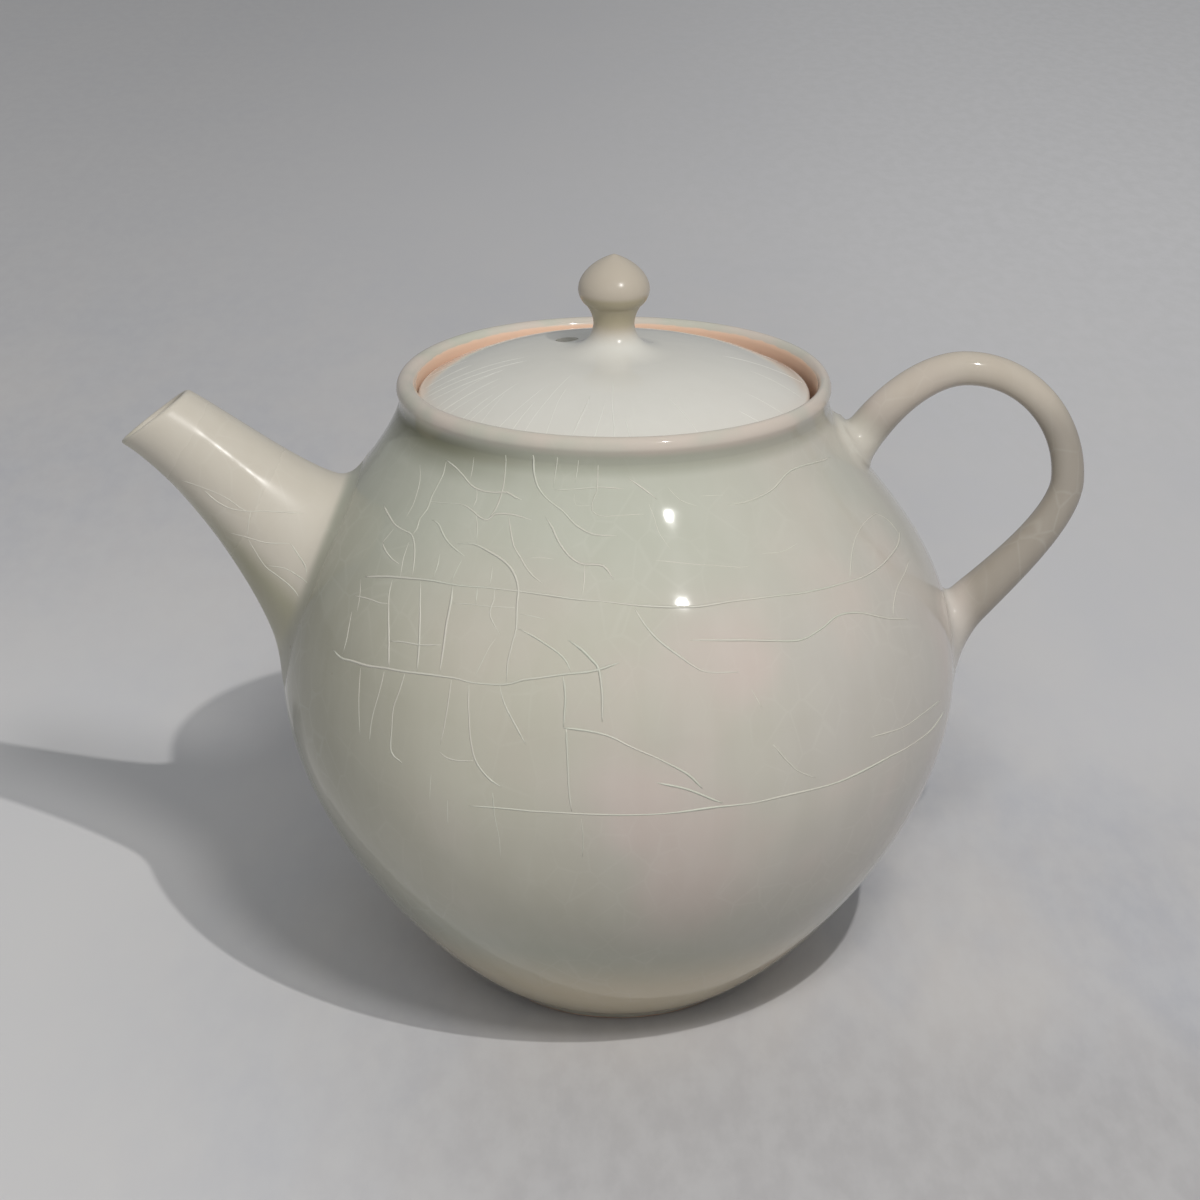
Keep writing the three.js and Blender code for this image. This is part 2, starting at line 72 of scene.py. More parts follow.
# The pot dried a little out of true: the neck stands this far towards the spout
LEAN = 0.9
LEAN_START = 62
LEAN_END = 108

# and its bore is cut this far back from the spout, so the lip is thicker on the spout's side
BORE_SHIFT = 0.5

# The lip and the lid's rim rise this far towards the back
BACK_RISE = 1.2
RISE_START = -0.6 * LIP_RADIUS
RISE_END = 0.9 * LIP_RADIUS

# Foot, lid seat and lid
FOOT_WIDTH = 4
FOOT_CHAMFER = 0.6
SEAT_HEIGHT = 108.3
SEAT_THICKNESS = 2.2
SEAT_INNER_RADIUS = 30.2
SEAT_OUTER_RADIUS = 34.5
LID_RADIUS = 34.1
LID_BOTTOM = 108.6
LID_RIM_THICKNESS = 2.2
LID_RIM_ROUND = 0.9
LID_RISE = 7.5
LID_SQUARENESS = 2.6
LID_THICKNESS = 3.2
FLANGE_RADIUS = 29.6
FLANGE_WIDTH = 2.6
FLANGE_DEPTH = 7
STEAM_HOLE_RADIUS = 2.0
STEAM_HOLE_DISTANCE = 11.4
STEAM_HOLE_ANGLE = 136

# Spout
SPOUT_TIP_REACH = 27
SPOUT_TIP_HEIGHT = 101.8
SPOUT_MOUTH_LENGTH = 14.8
SPOUT_MOUTH_TILT = 37
SPOUT_MOUTH_HALF_WIDTH = 7.5
SPOUT_ROOT_TOP = 94.6
SPOUT_ROOT_BOTTOM = 59.5
SPOUT_ROOT_HALF_WIDTH = 16.5
SPOUT_FLARE = 1.6
SPOUT_WALL = 2.4
SPOUT_EDGE = 1.2
SPOUT_FILLET = 2.6
PORT_HEIGHT = 77.05
PORT_RADIUS = 11
SPOUT_SKEW = 0.09
SPOUT_UPPER_SLOPE = -6
SPOUT_LOWER_SLOPE = 86
SPOUT_MOUTH_SLOPE = 31
SPOUT_UPPER_LEAD = 0.12
SPOUT_LOWER_LEAD = 0.23
SPOUT_MOUTH_LEAD = 0.25

# Crackle lines
CRACK_HALF_WIDTH = 0.26
CRACK_RISE = 0.07
CRACK_SUNK = 0.02
CRACK_SPACING = 0.8
CRACK_TAPER = 2.2
CRACK_SWAY = 0.1
CRACK_SWAY_STEP = 6
CRACK_UNEVEN_STEP = 9
CRACK_BLUNTNESS = 0.35
NET_SIZE = 5.5

# Handle coil and the wads that join it
HANDLE_REACH = 19.0
HANDLE_REACH_HEIGHT = 94.8
HANDLE_TOP = (22.9, 114.8)
HANDLE_UPPER_ROOT = (6.6, 104.4)
HANDLE_UPPER_SLOPE = 53
HANDLE_LOWER_ROOT = (4.4, 72.0)
HANDLE_LOWER_SLOPE = 45
HANDLE_END_RADIUS = 3.5
HANDLE_LOWER_RADIUS = 4.0
HANDLE_REACH_RADIUS = 2.8
UPPER_WAD = (106.0, 97.6, 6)
LOWER_WAD = (72.2, 57.6, 7.3)
UPPER_WAD_SPREAD = 0.8
LOWER_WAD_SPREAD = 1.2
HANDLE_UPPER_LEAD = 0.68
HANDLE_LOWER_LEAD = 0.41
HANDLE_TOP_LEAD = 0.58
HANDLE_REACH_LEAD = 0.62
QUARTER_CIRCLE_LEAD = 0.552
HANDLE_FILLET = 2.1

# The camera that saw the picture. Spots of the picture are counted in 1/1200 of its side,
# from the top left.
CAMERA_PLACE = np.array([-3.3, -480, 249.1])
CAMERA_PITCH = 20.26
PICTURE_MIDDLE = 600
PICTURE_FOCUS = 2862
SENSOR_WIDTH = 36


def direction(angle):
    return np.array([math.cos(math.radians(angle)), math.sin(math.radians(angle))])


def along(point, angle, distance):
    return np.asarray(point, float) + direction(angle) * distance


def full_turn(count):
    """Equal steps once round, in radians."""
    return np.arange(count) * 2 * math.pi / count


def bezier(points, steps):
    """Points of a Bezier curve with two, three or four controls."""
    points = np.asarray(points, float)
    degree = len(points) - 1
    t = np.linspace(0, 1, steps + 1)[:, None]
    weights = [math.comb(degree, i) * t**i * (1 - t) ** (degree - i) for i in range(degree + 1)]
    return sum(weight * point for weight, point in zip(weights, points))


def smoothstep(value, low, high):
    t = np.clip((value - low) / (high - low), 0, 1)
    return t * t * (3 - 2 * t)


def lean(points):
    """Points moved towards the spout by as much as the pot leans at their height."""
    moved = np.array(points, float)
    moved[..., 0] -= LEAN * smoothstep(moved[..., 2], LEAN_START, LEAN_END)
    return moved


def upright(points):
    moved = np.array(points, float)
    moved[..., 0] += LEAN * smoothstep(moved[..., 2], LEAN_START, LEAN_END)
    return moved


def unit(vectors):
    return vectors / np.maximum(np.linalg.norm(vectors, axis=-1, keepdims=True), 1e-9)


# Meshes

def in_frame(points):
    """Points in millimetres about the pot's axis, as metres in the frame."""
    return (np.asarray(points, float) + [AXIS_X, 0, 0]) * MM


def linked(name, data):
    """A new object of the scene that holds a mesh, a lamp or a camera."""
    thing = bpy.data.objects.new(name, data)
    bpy.context.scene.collection.objects.link(thing)
    return thing


def new_mesh(name, points, faces):
    mesh = bpy.data.meshes.new(name)
    mesh.from_pydata(in_frame(points).tolist(), [], [list(map(int, face)) for face in faces])
    return mesh


def mesh_object(name, points, faces, material, body, replaced=()):
    """A smooth-shaded piece from points in millimetres about the pot's axis."""
    mesh = new_mesh(name, points, faces)
    mesh.validate()
    mesh.shade_smooth()
    piece = linked(name, mesh)
    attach(piece, body)
    if replaced:
        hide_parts(*replaced)
    piece.data.materials.append(material)
    return piece


def grid_faces(rows, columns, closed_rows=False):
    """Quads between neighbouring points of rings that are stored one after another."""
    faces = []
    for row in range(rows if closed_rows else rows - 1):
        below = row * columns
        above = (row + 1) % rows * columns
        for column in range(columns):
            right = (column + 1) % columns
            faces.append((below + column, below + right, above + right, above + column))
    return faces


def turned(outline, segments):
    """Points and faces of a closed outline of (radius, height) turned about the axis."""
    turns = full_turn(segments)
    points, faces, rings = [], [], []
    for radius, height in outline:
        if radius < 1e-6:
            rings.append([len(points)])
            points.append((0, 0, height))
        else:
            rings.append(range(len(points), len(points) + segments))
            points.extend((radius * math.sin(a), -radius * math.cos(a), height) for a in turns)
    closed = outline[0][0] > 1e-6
    pairs = zip(rings, rings[1:] + [rings[0]] if closed else rings[1:])
    for low, high in pairs:
        for i in range(segments):
            j = (i + 1) % segments
            corners = [low[i % len(low)], low[j % len(low)], high[j % len(high)], high[i % len(high)]]
            face = list(dict.fromkeys(corners))
            if len(face) > 2:
                faces.append(face)
    return lean(points), faces


def arc(centre, radius, start, end, steps):
    """Points of an arc or, with two radii, of a piece of an ellipse."""
    angles = np.radians(np.linspace(start, end, steps + 1))
    radii = np.broadcast_to(radius, 2)
    return np.asarray(centre, float) + np.stack([radii[0] * np.cos(angles), radii[1] * np.sin(angles)], 1)


def sharpen(piece):
    """Keeps the sharper edges crisp, and shades the rest as curved."""
    bpy.context.view_layer.objects.active = piece
    piece.select_set(True)
    bpy.ops.object.shade_smooth_by_angle(angle=math.radians(CRISP_ANGLE))
    piece.select_set(False)


# Globe

def globe_outline(steps):
    turn = along(FOOT, BELLY_TURN_SLOPE, BELLY_TURN)
    shoulder = along(NECK, -NECK_SLOPE, NECK_FULLNESS)
    equator = (GLOBE_RADIUS, EQUATOR_HEIGHT)
    lower = bezier([FOOT, turn, (GLOBE_RADIUS, EQUATOR_HEIGHT - LOWER_FULLNESS), equator], steps)
    upper = bezier([equator, (GLOBE_RADIUS, EQUATOR_HEIGHT + UPPER_FULLNESS), shoulder, NECK], steps)
    return np.vstack([lower, upper[1:]])


def lip_rise(steps):
    roll_height = LIP_HEIGHT - LIP_ROLL
    return bezier([NECK, (NECK[0], (NECK[1] + roll_height) / 2), (LIP_RADIUS, roll_height)], steps)


def lip_roll(end, steps):
    """The roll of the lip from its widest point over towards the bore."""
    middle = (LIP_RADIUS + MOUTH_RADIUS) / 2
    return arc((middle, LIP_HEIGHT - LIP_ROLL), ((LIP_RADIUS - MOUTH_RADIUS) / 2, LIP_ROLL), 0, end, steps)


GLOBE = globe_outline(150)
OUTSIDE = np.vstack([GLOBE, lip_rise(8)[1:], lip_roll(90, 6)[1:]])


def offset_outline(outline, distance):
    way = unit(np.gradient(outline, axis=0))
    return outline + np.stack([-way[:, 1], way[:, 0]], 1) * distance


def globe_radius(height):
    return np.interp(height, GLOBE[:, 1], GLOBE[:, 0])


def globe_distance(points):
    """Distance from the globe's outer face, above 0 outside."""
    placed = upright(points)
    flat = np.stack([np.hypot(placed[:, 0], placed[:, 1]), placed[:, 2]], 1)
    start, way = OUTSIDE[:-1], np.diff(OUTSIDE, axis=0)
    share = ((flat[:, None] - start) * way).sum(2) / (way**2).sum(1)
    nearest = start + way * np.clip(share, 0, 1)[..., None]
    gap = flat[:, None] - nearest
    distance = np.linalg.norm(gap, axis=2)
    best = distance.argmin(1)
    rows = np.arange(len(flat))
    outward = np.stack([way[:, 1], -way[:, 0]], 1)[best]
    side = np.sign((gap[rows, best] * outward).sum(1))
    return side * distance[rows, best]


def globe_inside():
    inside = offset_outline(GLOBE, WALL)
    side = inside[(inside[:, 1] > FLOOR_HEIGHT) & (inside[:, 1] < BORE_BOTTOM)]
    low = (np.interp(FLOOR_HEIGHT, inside[:, 1], inside[:, 0]), FLOOR_HEIGHT)
    high = (np.interp(BORE_BOTTOM, inside[:, 1], inside[:, 0]), BORE_BOTTOM)
    return np.vstack([low, side[::3], high])


def back_rise(y):
    return BACK_RISE * smoothstep(y, RISE_START, RISE_END)


def globe(material):
    """The globe and its rolled lip, hollow, with the port that the spout covers."""
    bore = bezier([(MOUTH_RADIUS, LIP_HEIGHT - LIP_ROLL), (MOUTH_RADIUS, BORE_BOTTOM)], 6)
    lip = np.vstack([lip_rise(10)[1:], lip_roll(180, 20)[1:]])
    outline = np.vstack([(0, FOOT[1]), GLOBE[::2], lip, bore[1:], globe_inside()[::-1], (0, FLOOR_HEIGHT)])
    points, faces = turned(outline, 256)
    radius = np.hypot(points[:, 0] + LEAN, points[:, 1])
    within = 1 - smoothstep(radius, MOUTH_RADIUS, LIP_RADIUS)
    points[:, 0] += BORE_SHIFT * within * smoothstep(points[:, 2], BORE_BOTTOM - 2, BORE_BOTTOM + 2)
    high = smoothstep(points[:, 2], BORE_BOTTOM + 2, LIP_HEIGHT - LIP_ROLL)
    points[:, 2] += back_rise(points[:, 1]) * high
    rings = ["pot_base", "pot_belly", "pot_upper_belly", "pot_shoulder"]
    piece = mesh_object("globe", points, faces, material, "pot", rings)
    port = settle(globe_distance, np.array([[-globe_radius(PORT_HEIGHT), 0.0, PORT_HEIGHT]]))
    facing = globe_outward(port)[0]
    pierce(piece, PORT_RADIUS, port[0] - facing * 3 * WALL, port[0] + facing * 3 * WALL)


# Blends between the globe and what is luted to it. Past its foot a blend's skin runs on along the
# globe by these distances and down into the wall by these depths.
BLEND_SKIRT = ((0.4, 0.01), (1.0, 0.2), (1.0, WALL / 2))
BLEND_LIFT = 0.008
BLEND_STEP = 0.2

def mixed(values, i, t):
    """What lies between the value of ring i and the next, at a share t."""
    return values[i] * (1 - t) + values[i + 1] * t


def loft_distance(points, rings):
    """Rough distance from a loft of ellipses, above 0 outside.

    Each ring spans two points of the plane y = 0."""
    flat = points[:, [0, 2]]
    centre = (rings["upper"] + rings["lower"]) / 2
    half = (rings["upper"] - rings["lower"]) / 2
    size = np.linalg.norm(half, axis=1)
    across = half / size[:, None]
    ahead = np.stack([across[:, 1], -across[:, 0]], 1)
    middle_way = np.gradient(centre, axis=0)
    ahead *= np.sign((ahead * middle_way).sum(1))[:, None]
    gap = flat[:, None] - centre
    depth = (gap * ahead).sum(2)
    found = np.full(len(points), 1e3)
    for i in range(len(centre) - 1):
        inside = (depth[:, i] >= 0) & (depth[:, i + 1] <= 0)
        if not inside.any():
            continue
        span = depth[inside, i] - depth[inside, i + 1]
        t = (depth[inside, i] / np.maximum(span, 1e-9))[:, None]
        middle = mixed(centre, i, t)
        axis = unit(mixed(across, i, t))
        tall = mixed(size, i, t[:, 0])
        wide = mixed(rings["width"], i, t[:, 0])
        up = ((flat[inside] - middle) * axis).sum(1)
        side = points[inside, 1]
        ratio = np.maximum(np.hypot(up / tall, side / wide), 1e-6)
        distance = (ratio - 1) * np.hypot(up, side) / ratio
        distance = np.where(ratio < 0.2, -np.minimum(tall, wide), distance)
        found[inside] = np.where(np.abs(distance) < np.abs(found[inside]), distance, found[inside])
    return found


def loft_point(rings, places, turns):
    """Point of the loft at a place along its rings, which may be a fraction, and at a turn round them."""
    places = np.clip(places, 0, len(rings["width"]) - 1.000001)
    i = places.astype(int)
    t = (places - i)[:, None]
    upper = mixed(rings["upper"], i, t)
    lower = mixed(rings["lower"], i, t)
    width = mixed(rings["width"], i, t[:, 0])
    flat = (upper + lower) / 2 + (upper - lower) / 2 * np.cos(turns)[:, None]
    return np.stack([flat[:, 0], width * np.sin(turns), flat[:, 1]], 1)


def ring_at(rings, place, turns):
    """One ring of the loft, at a place along it."""
    return loft_point(rings, np.full(len(turns), float(place)), turns)


def slope_of(field, points):
    """Gradient of a distance field by central differences."""
    step = 0.05
    slopes = []
    for axis in np.eye(3) * step:
        slopes.append((field(points + axis) - field(points - axis)) / (2 * step))
    return np.stack(slopes, 1)


def globe_outward(points):
    return unit(slope_of(globe_distance, points))


def settle(field, points, rounds=6):
    """Points moved along the field's slope until they lie on its surface."""
    points = np.array(points, float)
    for _ in range(rounds):
        slope = slope_of(field, points)
        size = np.maximum((slope**2).sum(1), 0.05)
        move = slope * (field(points) / size)[:, None]
        points -= np.clip(move, -1.5, 1.5)
    return points


def blended(first, second, reach):
    """Union of two distance fields with a smooth fillet that starts a reach away from each."""
    def field(points):
        a, b = first(points), second(points)
        near = np.maximum(reach - np.abs(a - b), 0) / reach
        return np.minimum(a, b) - near**2 * reach / 4
    return field


def root_rows(rings, start, end, turns, reach, rows):
    """Rows from the loft down over a fillet to the globe, which is looked for from start to end."""
    def loft(points):
        return loft_distance(points, rings)

    places = np.linspace(start, end, 400)
    lifted, landed = [], []
    for turn in turns:
        line = loft_point(rings, places, np.full(len(places), turn))
        gap = globe_distance(line)
        lifted.append(line[np.argmax(gap < reach)])
        landed.append(line[np.argmax(gap < 0)])
    lifted = np.array(lifted)
    foot = settle(globe_distance, np.array(landed))
    for _ in range(80):
        short = loft(foot) < reach
        if not short.any():
            break
        outward = globe_outward(foot)
        away = slope_of(loft, foot)
        away = unit(away - (away * outward).sum(1)[:, None] * outward)
        foot[short] += away[short] * BLEND_STEP
        foot = settle(globe_distance, foot, rounds=2)
    field = blended(globe_distance, loft, reach)
    strip = []
    for t in np.linspace(0, 1, rows + 1)[:-1]:
        strip.append(settle(field, lifted * (1 - t) + foot * t))
    outward = globe_outward(foot)
    onward = unit(foot - strip[-2])
    strip.append(foot + outward * BLEND_LIFT)
    for distance, depth in BLEND_SKIRT:
        strip.append(settle(globe_distance, foot + onward * distance) - outward * depth)
    return strip


# Spout

def spout_rings(steps, inset=0.0, edge_inset=0.0):
    """Rings from the root to the mouth. The inset changes to edge_inset towards the mouth."""
    tip = np.array([GLOBE_RADIUS + SPOUT_TIP_REACH, SPOUT_TIP_HEIGHT])
    crest = along(tip, 180 - SPOUT_MOUTH_TILT, SPOUT_MOUTH_LENGTH)
    upper_root = np.array([globe_radius(SPOUT_ROOT_TOP), SPOUT_ROOT_TOP])
    lower_root = np.array([globe_radius(SPOUT_ROOT_BOTTOM), SPOUT_ROOT_BOTTOM])
    run = np.linalg.norm(tip - lower_root)
    inward, lead = 180 + SPOUT_MOUTH_SLOPE, run * SPOUT_MOUTH_LEAD
    leaving = along(upper_root, SPOUT_UPPER_SLOPE, run * SPOUT_UPPER_LEAD)
    upper = bezier([upper_root, leaving, along(crest, inward, lead), crest], steps)
    leaving = along(lower_root, SPOUT_LOWER_SLOPE, run * SPOUT_LOWER_LEAD)
    lower = bezier([lower_root, leaving, along(tip, inward, lead), tip], steps)
    t = np.linspace(0, 1, steps + 1)
    depth = (inset + (edge_inset - inset) * smoothstep(t, 0.6, 1.0))[:, None]
    across = unit(upper - lower)
    upper, lower = upper - across * depth, lower + across * depth
    widening = SPOUT_ROOT_HALF_WIDTH - SPOUT_MOUTH_HALF_WIDTH
    width = SPOUT_MOUTH_HALF_WIDTH + widening * (1 - t) ** SPOUT_FLARE
    mirror = np.array([-1, 1])
    return {"upper": upper * mirror, "lower": lower * mirror, "width": width - depth[:, 0]}


def extended(rings, distance):
    """Rings with one more before the first, carried straight on by a distance."""
    middle = (rings["upper"] + rings["lower"]) / 2
    back = unit(middle[0] - middle[1]) * distance
    return {
        "upper": np.vstack([rings["upper"][0] + back, rings["upper"]]),
        "lower": np.vstack([rings["lower"][0] + back, rings["lower"]]),
        "width": np.concatenate([rings["width"][:1], rings["width"]]),
    }


def skewed(points, mouth, ahead):
    """Points near the mouth moved along the spout, so its cut faces a little away from the picture."""
    near = smoothstep((points - mouth) @ ahead, -0.35 * SPOUT_TIP_REACH, 0)
    return points - ahead * (SPOUT_SKEW * points[:, 1] * near)[:, None]


def spout(material):
    steps = 90
    columns = 120
    turns = full_turn(columns)
    outer = extended(spout_rings(steps), SPOUT_ROOT_HALF_WIDTH)
    inner = extended(spout_rings(steps, SPOUT_WALL, SPOUT_EDGE), SPOUT_ROOT_HALF_WIDTH)
    last = steps + 1
    strip = root_rows(outer, last * 0.8, 0, turns, SPOUT_FILLET, 14)
    gaps = np.array([globe_distance(ring_at(outer, place, turns)) for place in range(last + 1)])
    first_clear = (gaps > SPOUT_FILLET).argmax(axis=0) + 0.6
    rows = strip[::-1]
    rim_start = last - 1.2
    for share in np.linspace(0, 1, 60)[1:]:
        places = first_clear + (rim_start - first_clear) * share
        rows.append(loft_point(outer, places, turns))
    outer_edge = rows[-1]
    inner_edge = ring_at(inner, rim_start, turns)
    middle = (outer_edge + inner_edge) / 2
    mouth = ring_at(outer, last, turns)
    ahead = unit(mouth - outer_edge) * (SPOUT_EDGE / 2)
    for angle in np.radians([30, 60, 90, 120, 150]):
        rows.append(middle + (outer_edge - middle) * math.cos(angle) + ahead * math.sin(angle))
    trial = np.linspace(0, last / 2, 120)
    depths = np.array([globe_distance(ring_at(inner, place, turns)) for place in trial])
    bore_end = trial[np.argmax(depths > -WALL / 2, axis=0)]
    for share in np.linspace(0, 1, 40):
        rows.append(loft_point(inner, rim_start + (bore_end - rim_start) * share, turns))
    points = skewed(np.vstack(rows), mouth.mean(axis=0), unit((mouth - outer_edge).mean(axis=0)))
    faces = grid_faces(len(rows), columns, closed_rows=True)
    mesh_object("spout_skin", points, faces, material, "pot", ["spout"])


# Handle

def handle_rings():
    """Rings from within the neck, along the coil and into the globe's side, with their wads."""
    upper_root = np.array([NECK[0] + HANDLE_UPPER_ROOT[0], HANDLE_UPPER_ROOT[1]])
    top = np.array([NECK[0] + HANDLE_TOP[0], HANDLE_TOP[1]])
    reach = np.array([GLOBE_RADIUS + HANDLE_REACH, HANDLE_REACH_HEIGHT])
    offset, height = HANDLE_LOWER_ROOT
    lower_root = np.array([globe_radius(height) + offset, height])
    leaving = along(upper_root, HANDLE_UPPER_SLOPE, (top[1] - upper_root[1]) * HANDLE_UPPER_LEAD)
    landing = along(lower_root, HANDLE_LOWER_SLOPE, (reach[1] - lower_root[1]) * HANDLE_LOWER_LEAD)
    quarter = np.array([reach[0] - top[0], top[1] - reach[1]]) * QUARTER_CIRCLE_LEAD
    steps = 60
    path = np.vstack([
        bezier([upper_root, leaving, top - [quarter[0] * HANDLE_TOP_LEAD, 0], top], steps)[:-1],
        bezier([top, top + [quarter[0], 0], reach + [0, quarter[1]], reach], steps)[:-1],
        bezier([reach, reach - [0, quarter[1] * HANDLE_REACH_LEAD], landing, lower_root], steps),
    ])
    way = unit(np.gradient(path, axis=0))
    normal = np.stack([-way[:, 1], way[:, 0]], 1)
    length = np.concatenate([[0], np.cumsum(np.linalg.norm(np.diff(path, axis=0), axis=1))])
    share = length / length[-1]
    end_radius = np.where(share < 0.5, HANDLE_END_RADIUS, HANDLE_LOWER_RADIUS)
    radius = HANDLE_REACH_RADIUS + (end_radius - HANDLE_REACH_RADIUS) * (2 * share - 1) ** 2
    thick = normal * radius[:, None]
    coil = {"upper": path + thick, "lower": path - thick, "width": radius}
    before = wad_rings(coil, 0, -way[0], UPPER_WAD, UPPER_WAD_SPREAD)
    after = wad_rings(coil, -1, way[-1], LOWER_WAD, LOWER_WAD_SPREAD)
    return {key: np.concatenate([before[key][::-1], coil[key], after[key]]) for key in coil}


def wad_rings(coil, end, inward, size, spread):
    """Rings from an end of the coil to the globe. They spread near it and run on through the wall."""
    high_height, low_height, half_width = size
    outer, inner = coil["upper"][end], coil["lower"][end]
    high = np.array([globe_radius(high_height), high_height])
    low = np.array([globe_radius(low_height), low_height])
    outer_end, inner_end = (high, low) if outer[1] > inner[1] else (low, high)
    lead = coil["width"][end] * spread * inward
    upper = bezier([outer, outer + lead, outer_end], 24)[1:]
    lower = bezier([inner, inner + lead, inner_end], 24)[1:]
    t = np.linspace(0, 1, 25)[1:]
    width = coil["width"][end] + (half_width - coil["width"][end]) * t * t
    through = np.array([-1.5 * WALL, 0])
    return {
        "upper": np.vstack([upper, upper[-1] + through]),
        "lower": np.vstack([lower, lower[-1] + through]),
        "width": np.append(width, width[-1]),
    }


def under_globe(row):
    """A point well inside the wall under the middle of a row."""
    middle = settle(globe_distance, row.mean(axis=0)[None])
    return middle - globe_outward(middle) * WALL * 0.6


def handle(material):
    rings = handle_rings()
    columns = 48
    turns = full_turn(columns)
    count = len(rings["width"])
    search, blend_rows, coil_rows = 70, 10, 150
    head = root_rows(rings, search, 0, turns, HANDLE_FILLET, blend_rows)
    tail = root_rows(rings, count - search, count - 1, turns, HANDLE_FILLET, blend_rows)
    near = np.array([globe_distance(ring_at(rings, i, turns)) for i in range(count)]) < HANDLE_FILLET
    middle = count // 2
    first = middle - near[middle::-1].argmax(axis=0) + 1.5
    last = middle + near[middle:].argmax(axis=0) - 1.5
    rows = head[::-1]
    for share in np.linspace(0, 1, coil_rows):
        rows.append(loft_point(rings, first + (last - first) * share, turns))
    rows += tail
    points = np.vstack(rows + [under_globe(rows[0]), under_globe(rows[-1])])
    faces = grid_faces(len(rows), columns)
    hub = len(rows) * columns
    for i in range(columns):
        j = (i + 1) % columns
        faces.append((hub, j, i))
        faces.append((hub + 1, hub - columns + i, hub - columns + j))
    solids = ["handle", "handle_upper_wad", "handle_lower_wad"]
    mesh_object("handle_skin", points, faces, material, "pot", solids)


# Foot ring, lid seat, lid and knob

def foot_ring(material):
    inner = FOOT[0] - FOOT_WIDTH
    outline = np.vstack([
        bezier([(inner, FOOT[1]), (inner, FOOT_CHAMFER)], 2),
        arc((inner + FOOT_CHAMFER, FOOT_CHAMFER), FOOT_CHAMFER, 180, 270, 5)[1:],
        arc((FOOT[0] - 2 * FOOT_CHAMFER, FOOT_CHAMFER), FOOT_CHAMFER, 270, 340, 5),
        [(FOOT[0], FOOT[1])],
    ])
    points, faces = turned(outline, 160)
    mesh_object("turned_foot", points, faces, material, "pot", ["foot_ring"])


def lid_seat(material):
    soft = 0.5
    outline = np.vstack([
        [(SEAT_OUTER_RADIUS, BORE_BOTTOM), (SEAT_OUTER_RADIUS, SEAT_HEIGHT)],
        arc((SEAT_INNER_RADIUS + soft, SEAT_HEIGHT - soft), soft, 90, 180, 5),
        arc((SEAT_INNER_RADIUS + soft, SEAT_HEIGHT - SEAT_THICKNESS + soft), soft, 180, 250, 4),
    ])
    points, faces = turned(outline, 200)
    sharpen(mesh_object("gallery", points, faces, material, "pot", ["lid_seat"]))


def lid_height(radius):
    share = np.clip(np.asarray(radius, float) / (LID_RADIUS - LID_RIM_ROUND), 0, 1)
    return LID_BOTTOM + LID_RIM_THICKNESS + LID_RISE * (1 - share**LID_SQUARENESS)


LID_TOP = float(lid_height(0))
KNOB_ROOT_RADIUS = 11.0


def knob_outline():
    """The knob's outline from where its stem flares out of the lid up to its point."""
    def above(radius, rise):
        return (radius, LID_TOP + rise)

    root = (KNOB_ROOT_RADIUS, float(lid_height(KNOB_ROOT_RADIUS)))
    waist, neck, bulb, point = above(3.55, 4.6), above(4.75, 7.9), above(6.2, 10.5), above(0, 16.8)
    flare = bezier([root, above(6.6, -0.1), above(3.8, 1.0), waist], 24)
    crease = bezier([waist, above(3.6, 6.3), neck], 12)
    under = bezier([neck, above(5.9, 8.7), bulb], 12)
    crown = bezier([bulb, above(6.25, 13.5), above(2.9, 15.9), point], 24)
    return np.vstack([flare, crease[1:], under[1:], crown[1:]])


def lid_outline():
    hollow_radius = FLANGE_RADIUS - FLANGE_WIDTH
    hollow_rise = LID_TOP - LID_THICKNESS - LID_BOTTOM
    shares = np.linspace(0, 1, 20)
    hollow = np.stack([hollow_radius * shares, LID_BOTTOM + hollow_rise * (1 - shares**LID_SQUARENESS)], 1)
    round_ = LID_RIM_ROUND
    rim_top = LID_BOTTOM + LID_RIM_THICKNESS
    edge = np.vstack([
        arc((LID_RADIUS - round_, LID_BOTTOM + round_), round_, 270, 360, 6),
        arc((LID_RADIUS - round_, rim_top - round_), round_, 0, 75, 6),
    ])
    knob = knob_outline()
    radii = np.linspace(LID_RADIUS - round_ - 0.2, knob[0][0], 60)[:-1]
    dome = np.stack([radii, lid_height(radii)], 1)
    return np.vstack([hollow, edge, dome, knob])


def lid_warp(points):
    """How far the lid's rim rises, with the lip, towards the back."""
    radius = np.hypot(points[..., 0] + LEAN, points[..., 1])
    return back_rise(points[..., 1]) * smoothstep(radius, KNOB_ROOT_RADIUS, LID_RADIUS - 2)


def lid(material):
    points, faces = turned(lid_outline(), 240)
    points[:, 2] += lid_warp(points)
    piece = mesh_object("lid_and_knob", points, faces, material, "cover", ["lid", "lid_knob"])
    x, y = direction(STEAM_HOLE_ANGLE) * STEAM_HOLE_DISTANCE - [LEAN, 0]
    low, high = LID_BOTTOM - LID_RISE, LID_TOP + LID_RISE
    pierce(piece, STEAM_HOLE_RADIUS, np.array([x, y, low]), np.array([x, y, high]))


def pierce(piece, radius, start, end):
    """Cuts a round hole through a piece, from one point to another."""
    columns = 40
    turns = full_turn(columns)[:, None]
    way = unit(end - start)
    side = unit(np.cross(way, [0.0, 1.0, 0.0]))
    rim = radius * (np.cos(turns) * side + np.sin(turns) * np.cross(way, side))
    faces = grid_faces(2, columns) + [list(range(columns))[::-1], list(range(columns, 2 * columns))]
    apply_cut(piece, linked("cutter", new_mesh("cutter", np.vstack([start + rim, end + rim]), faces)))


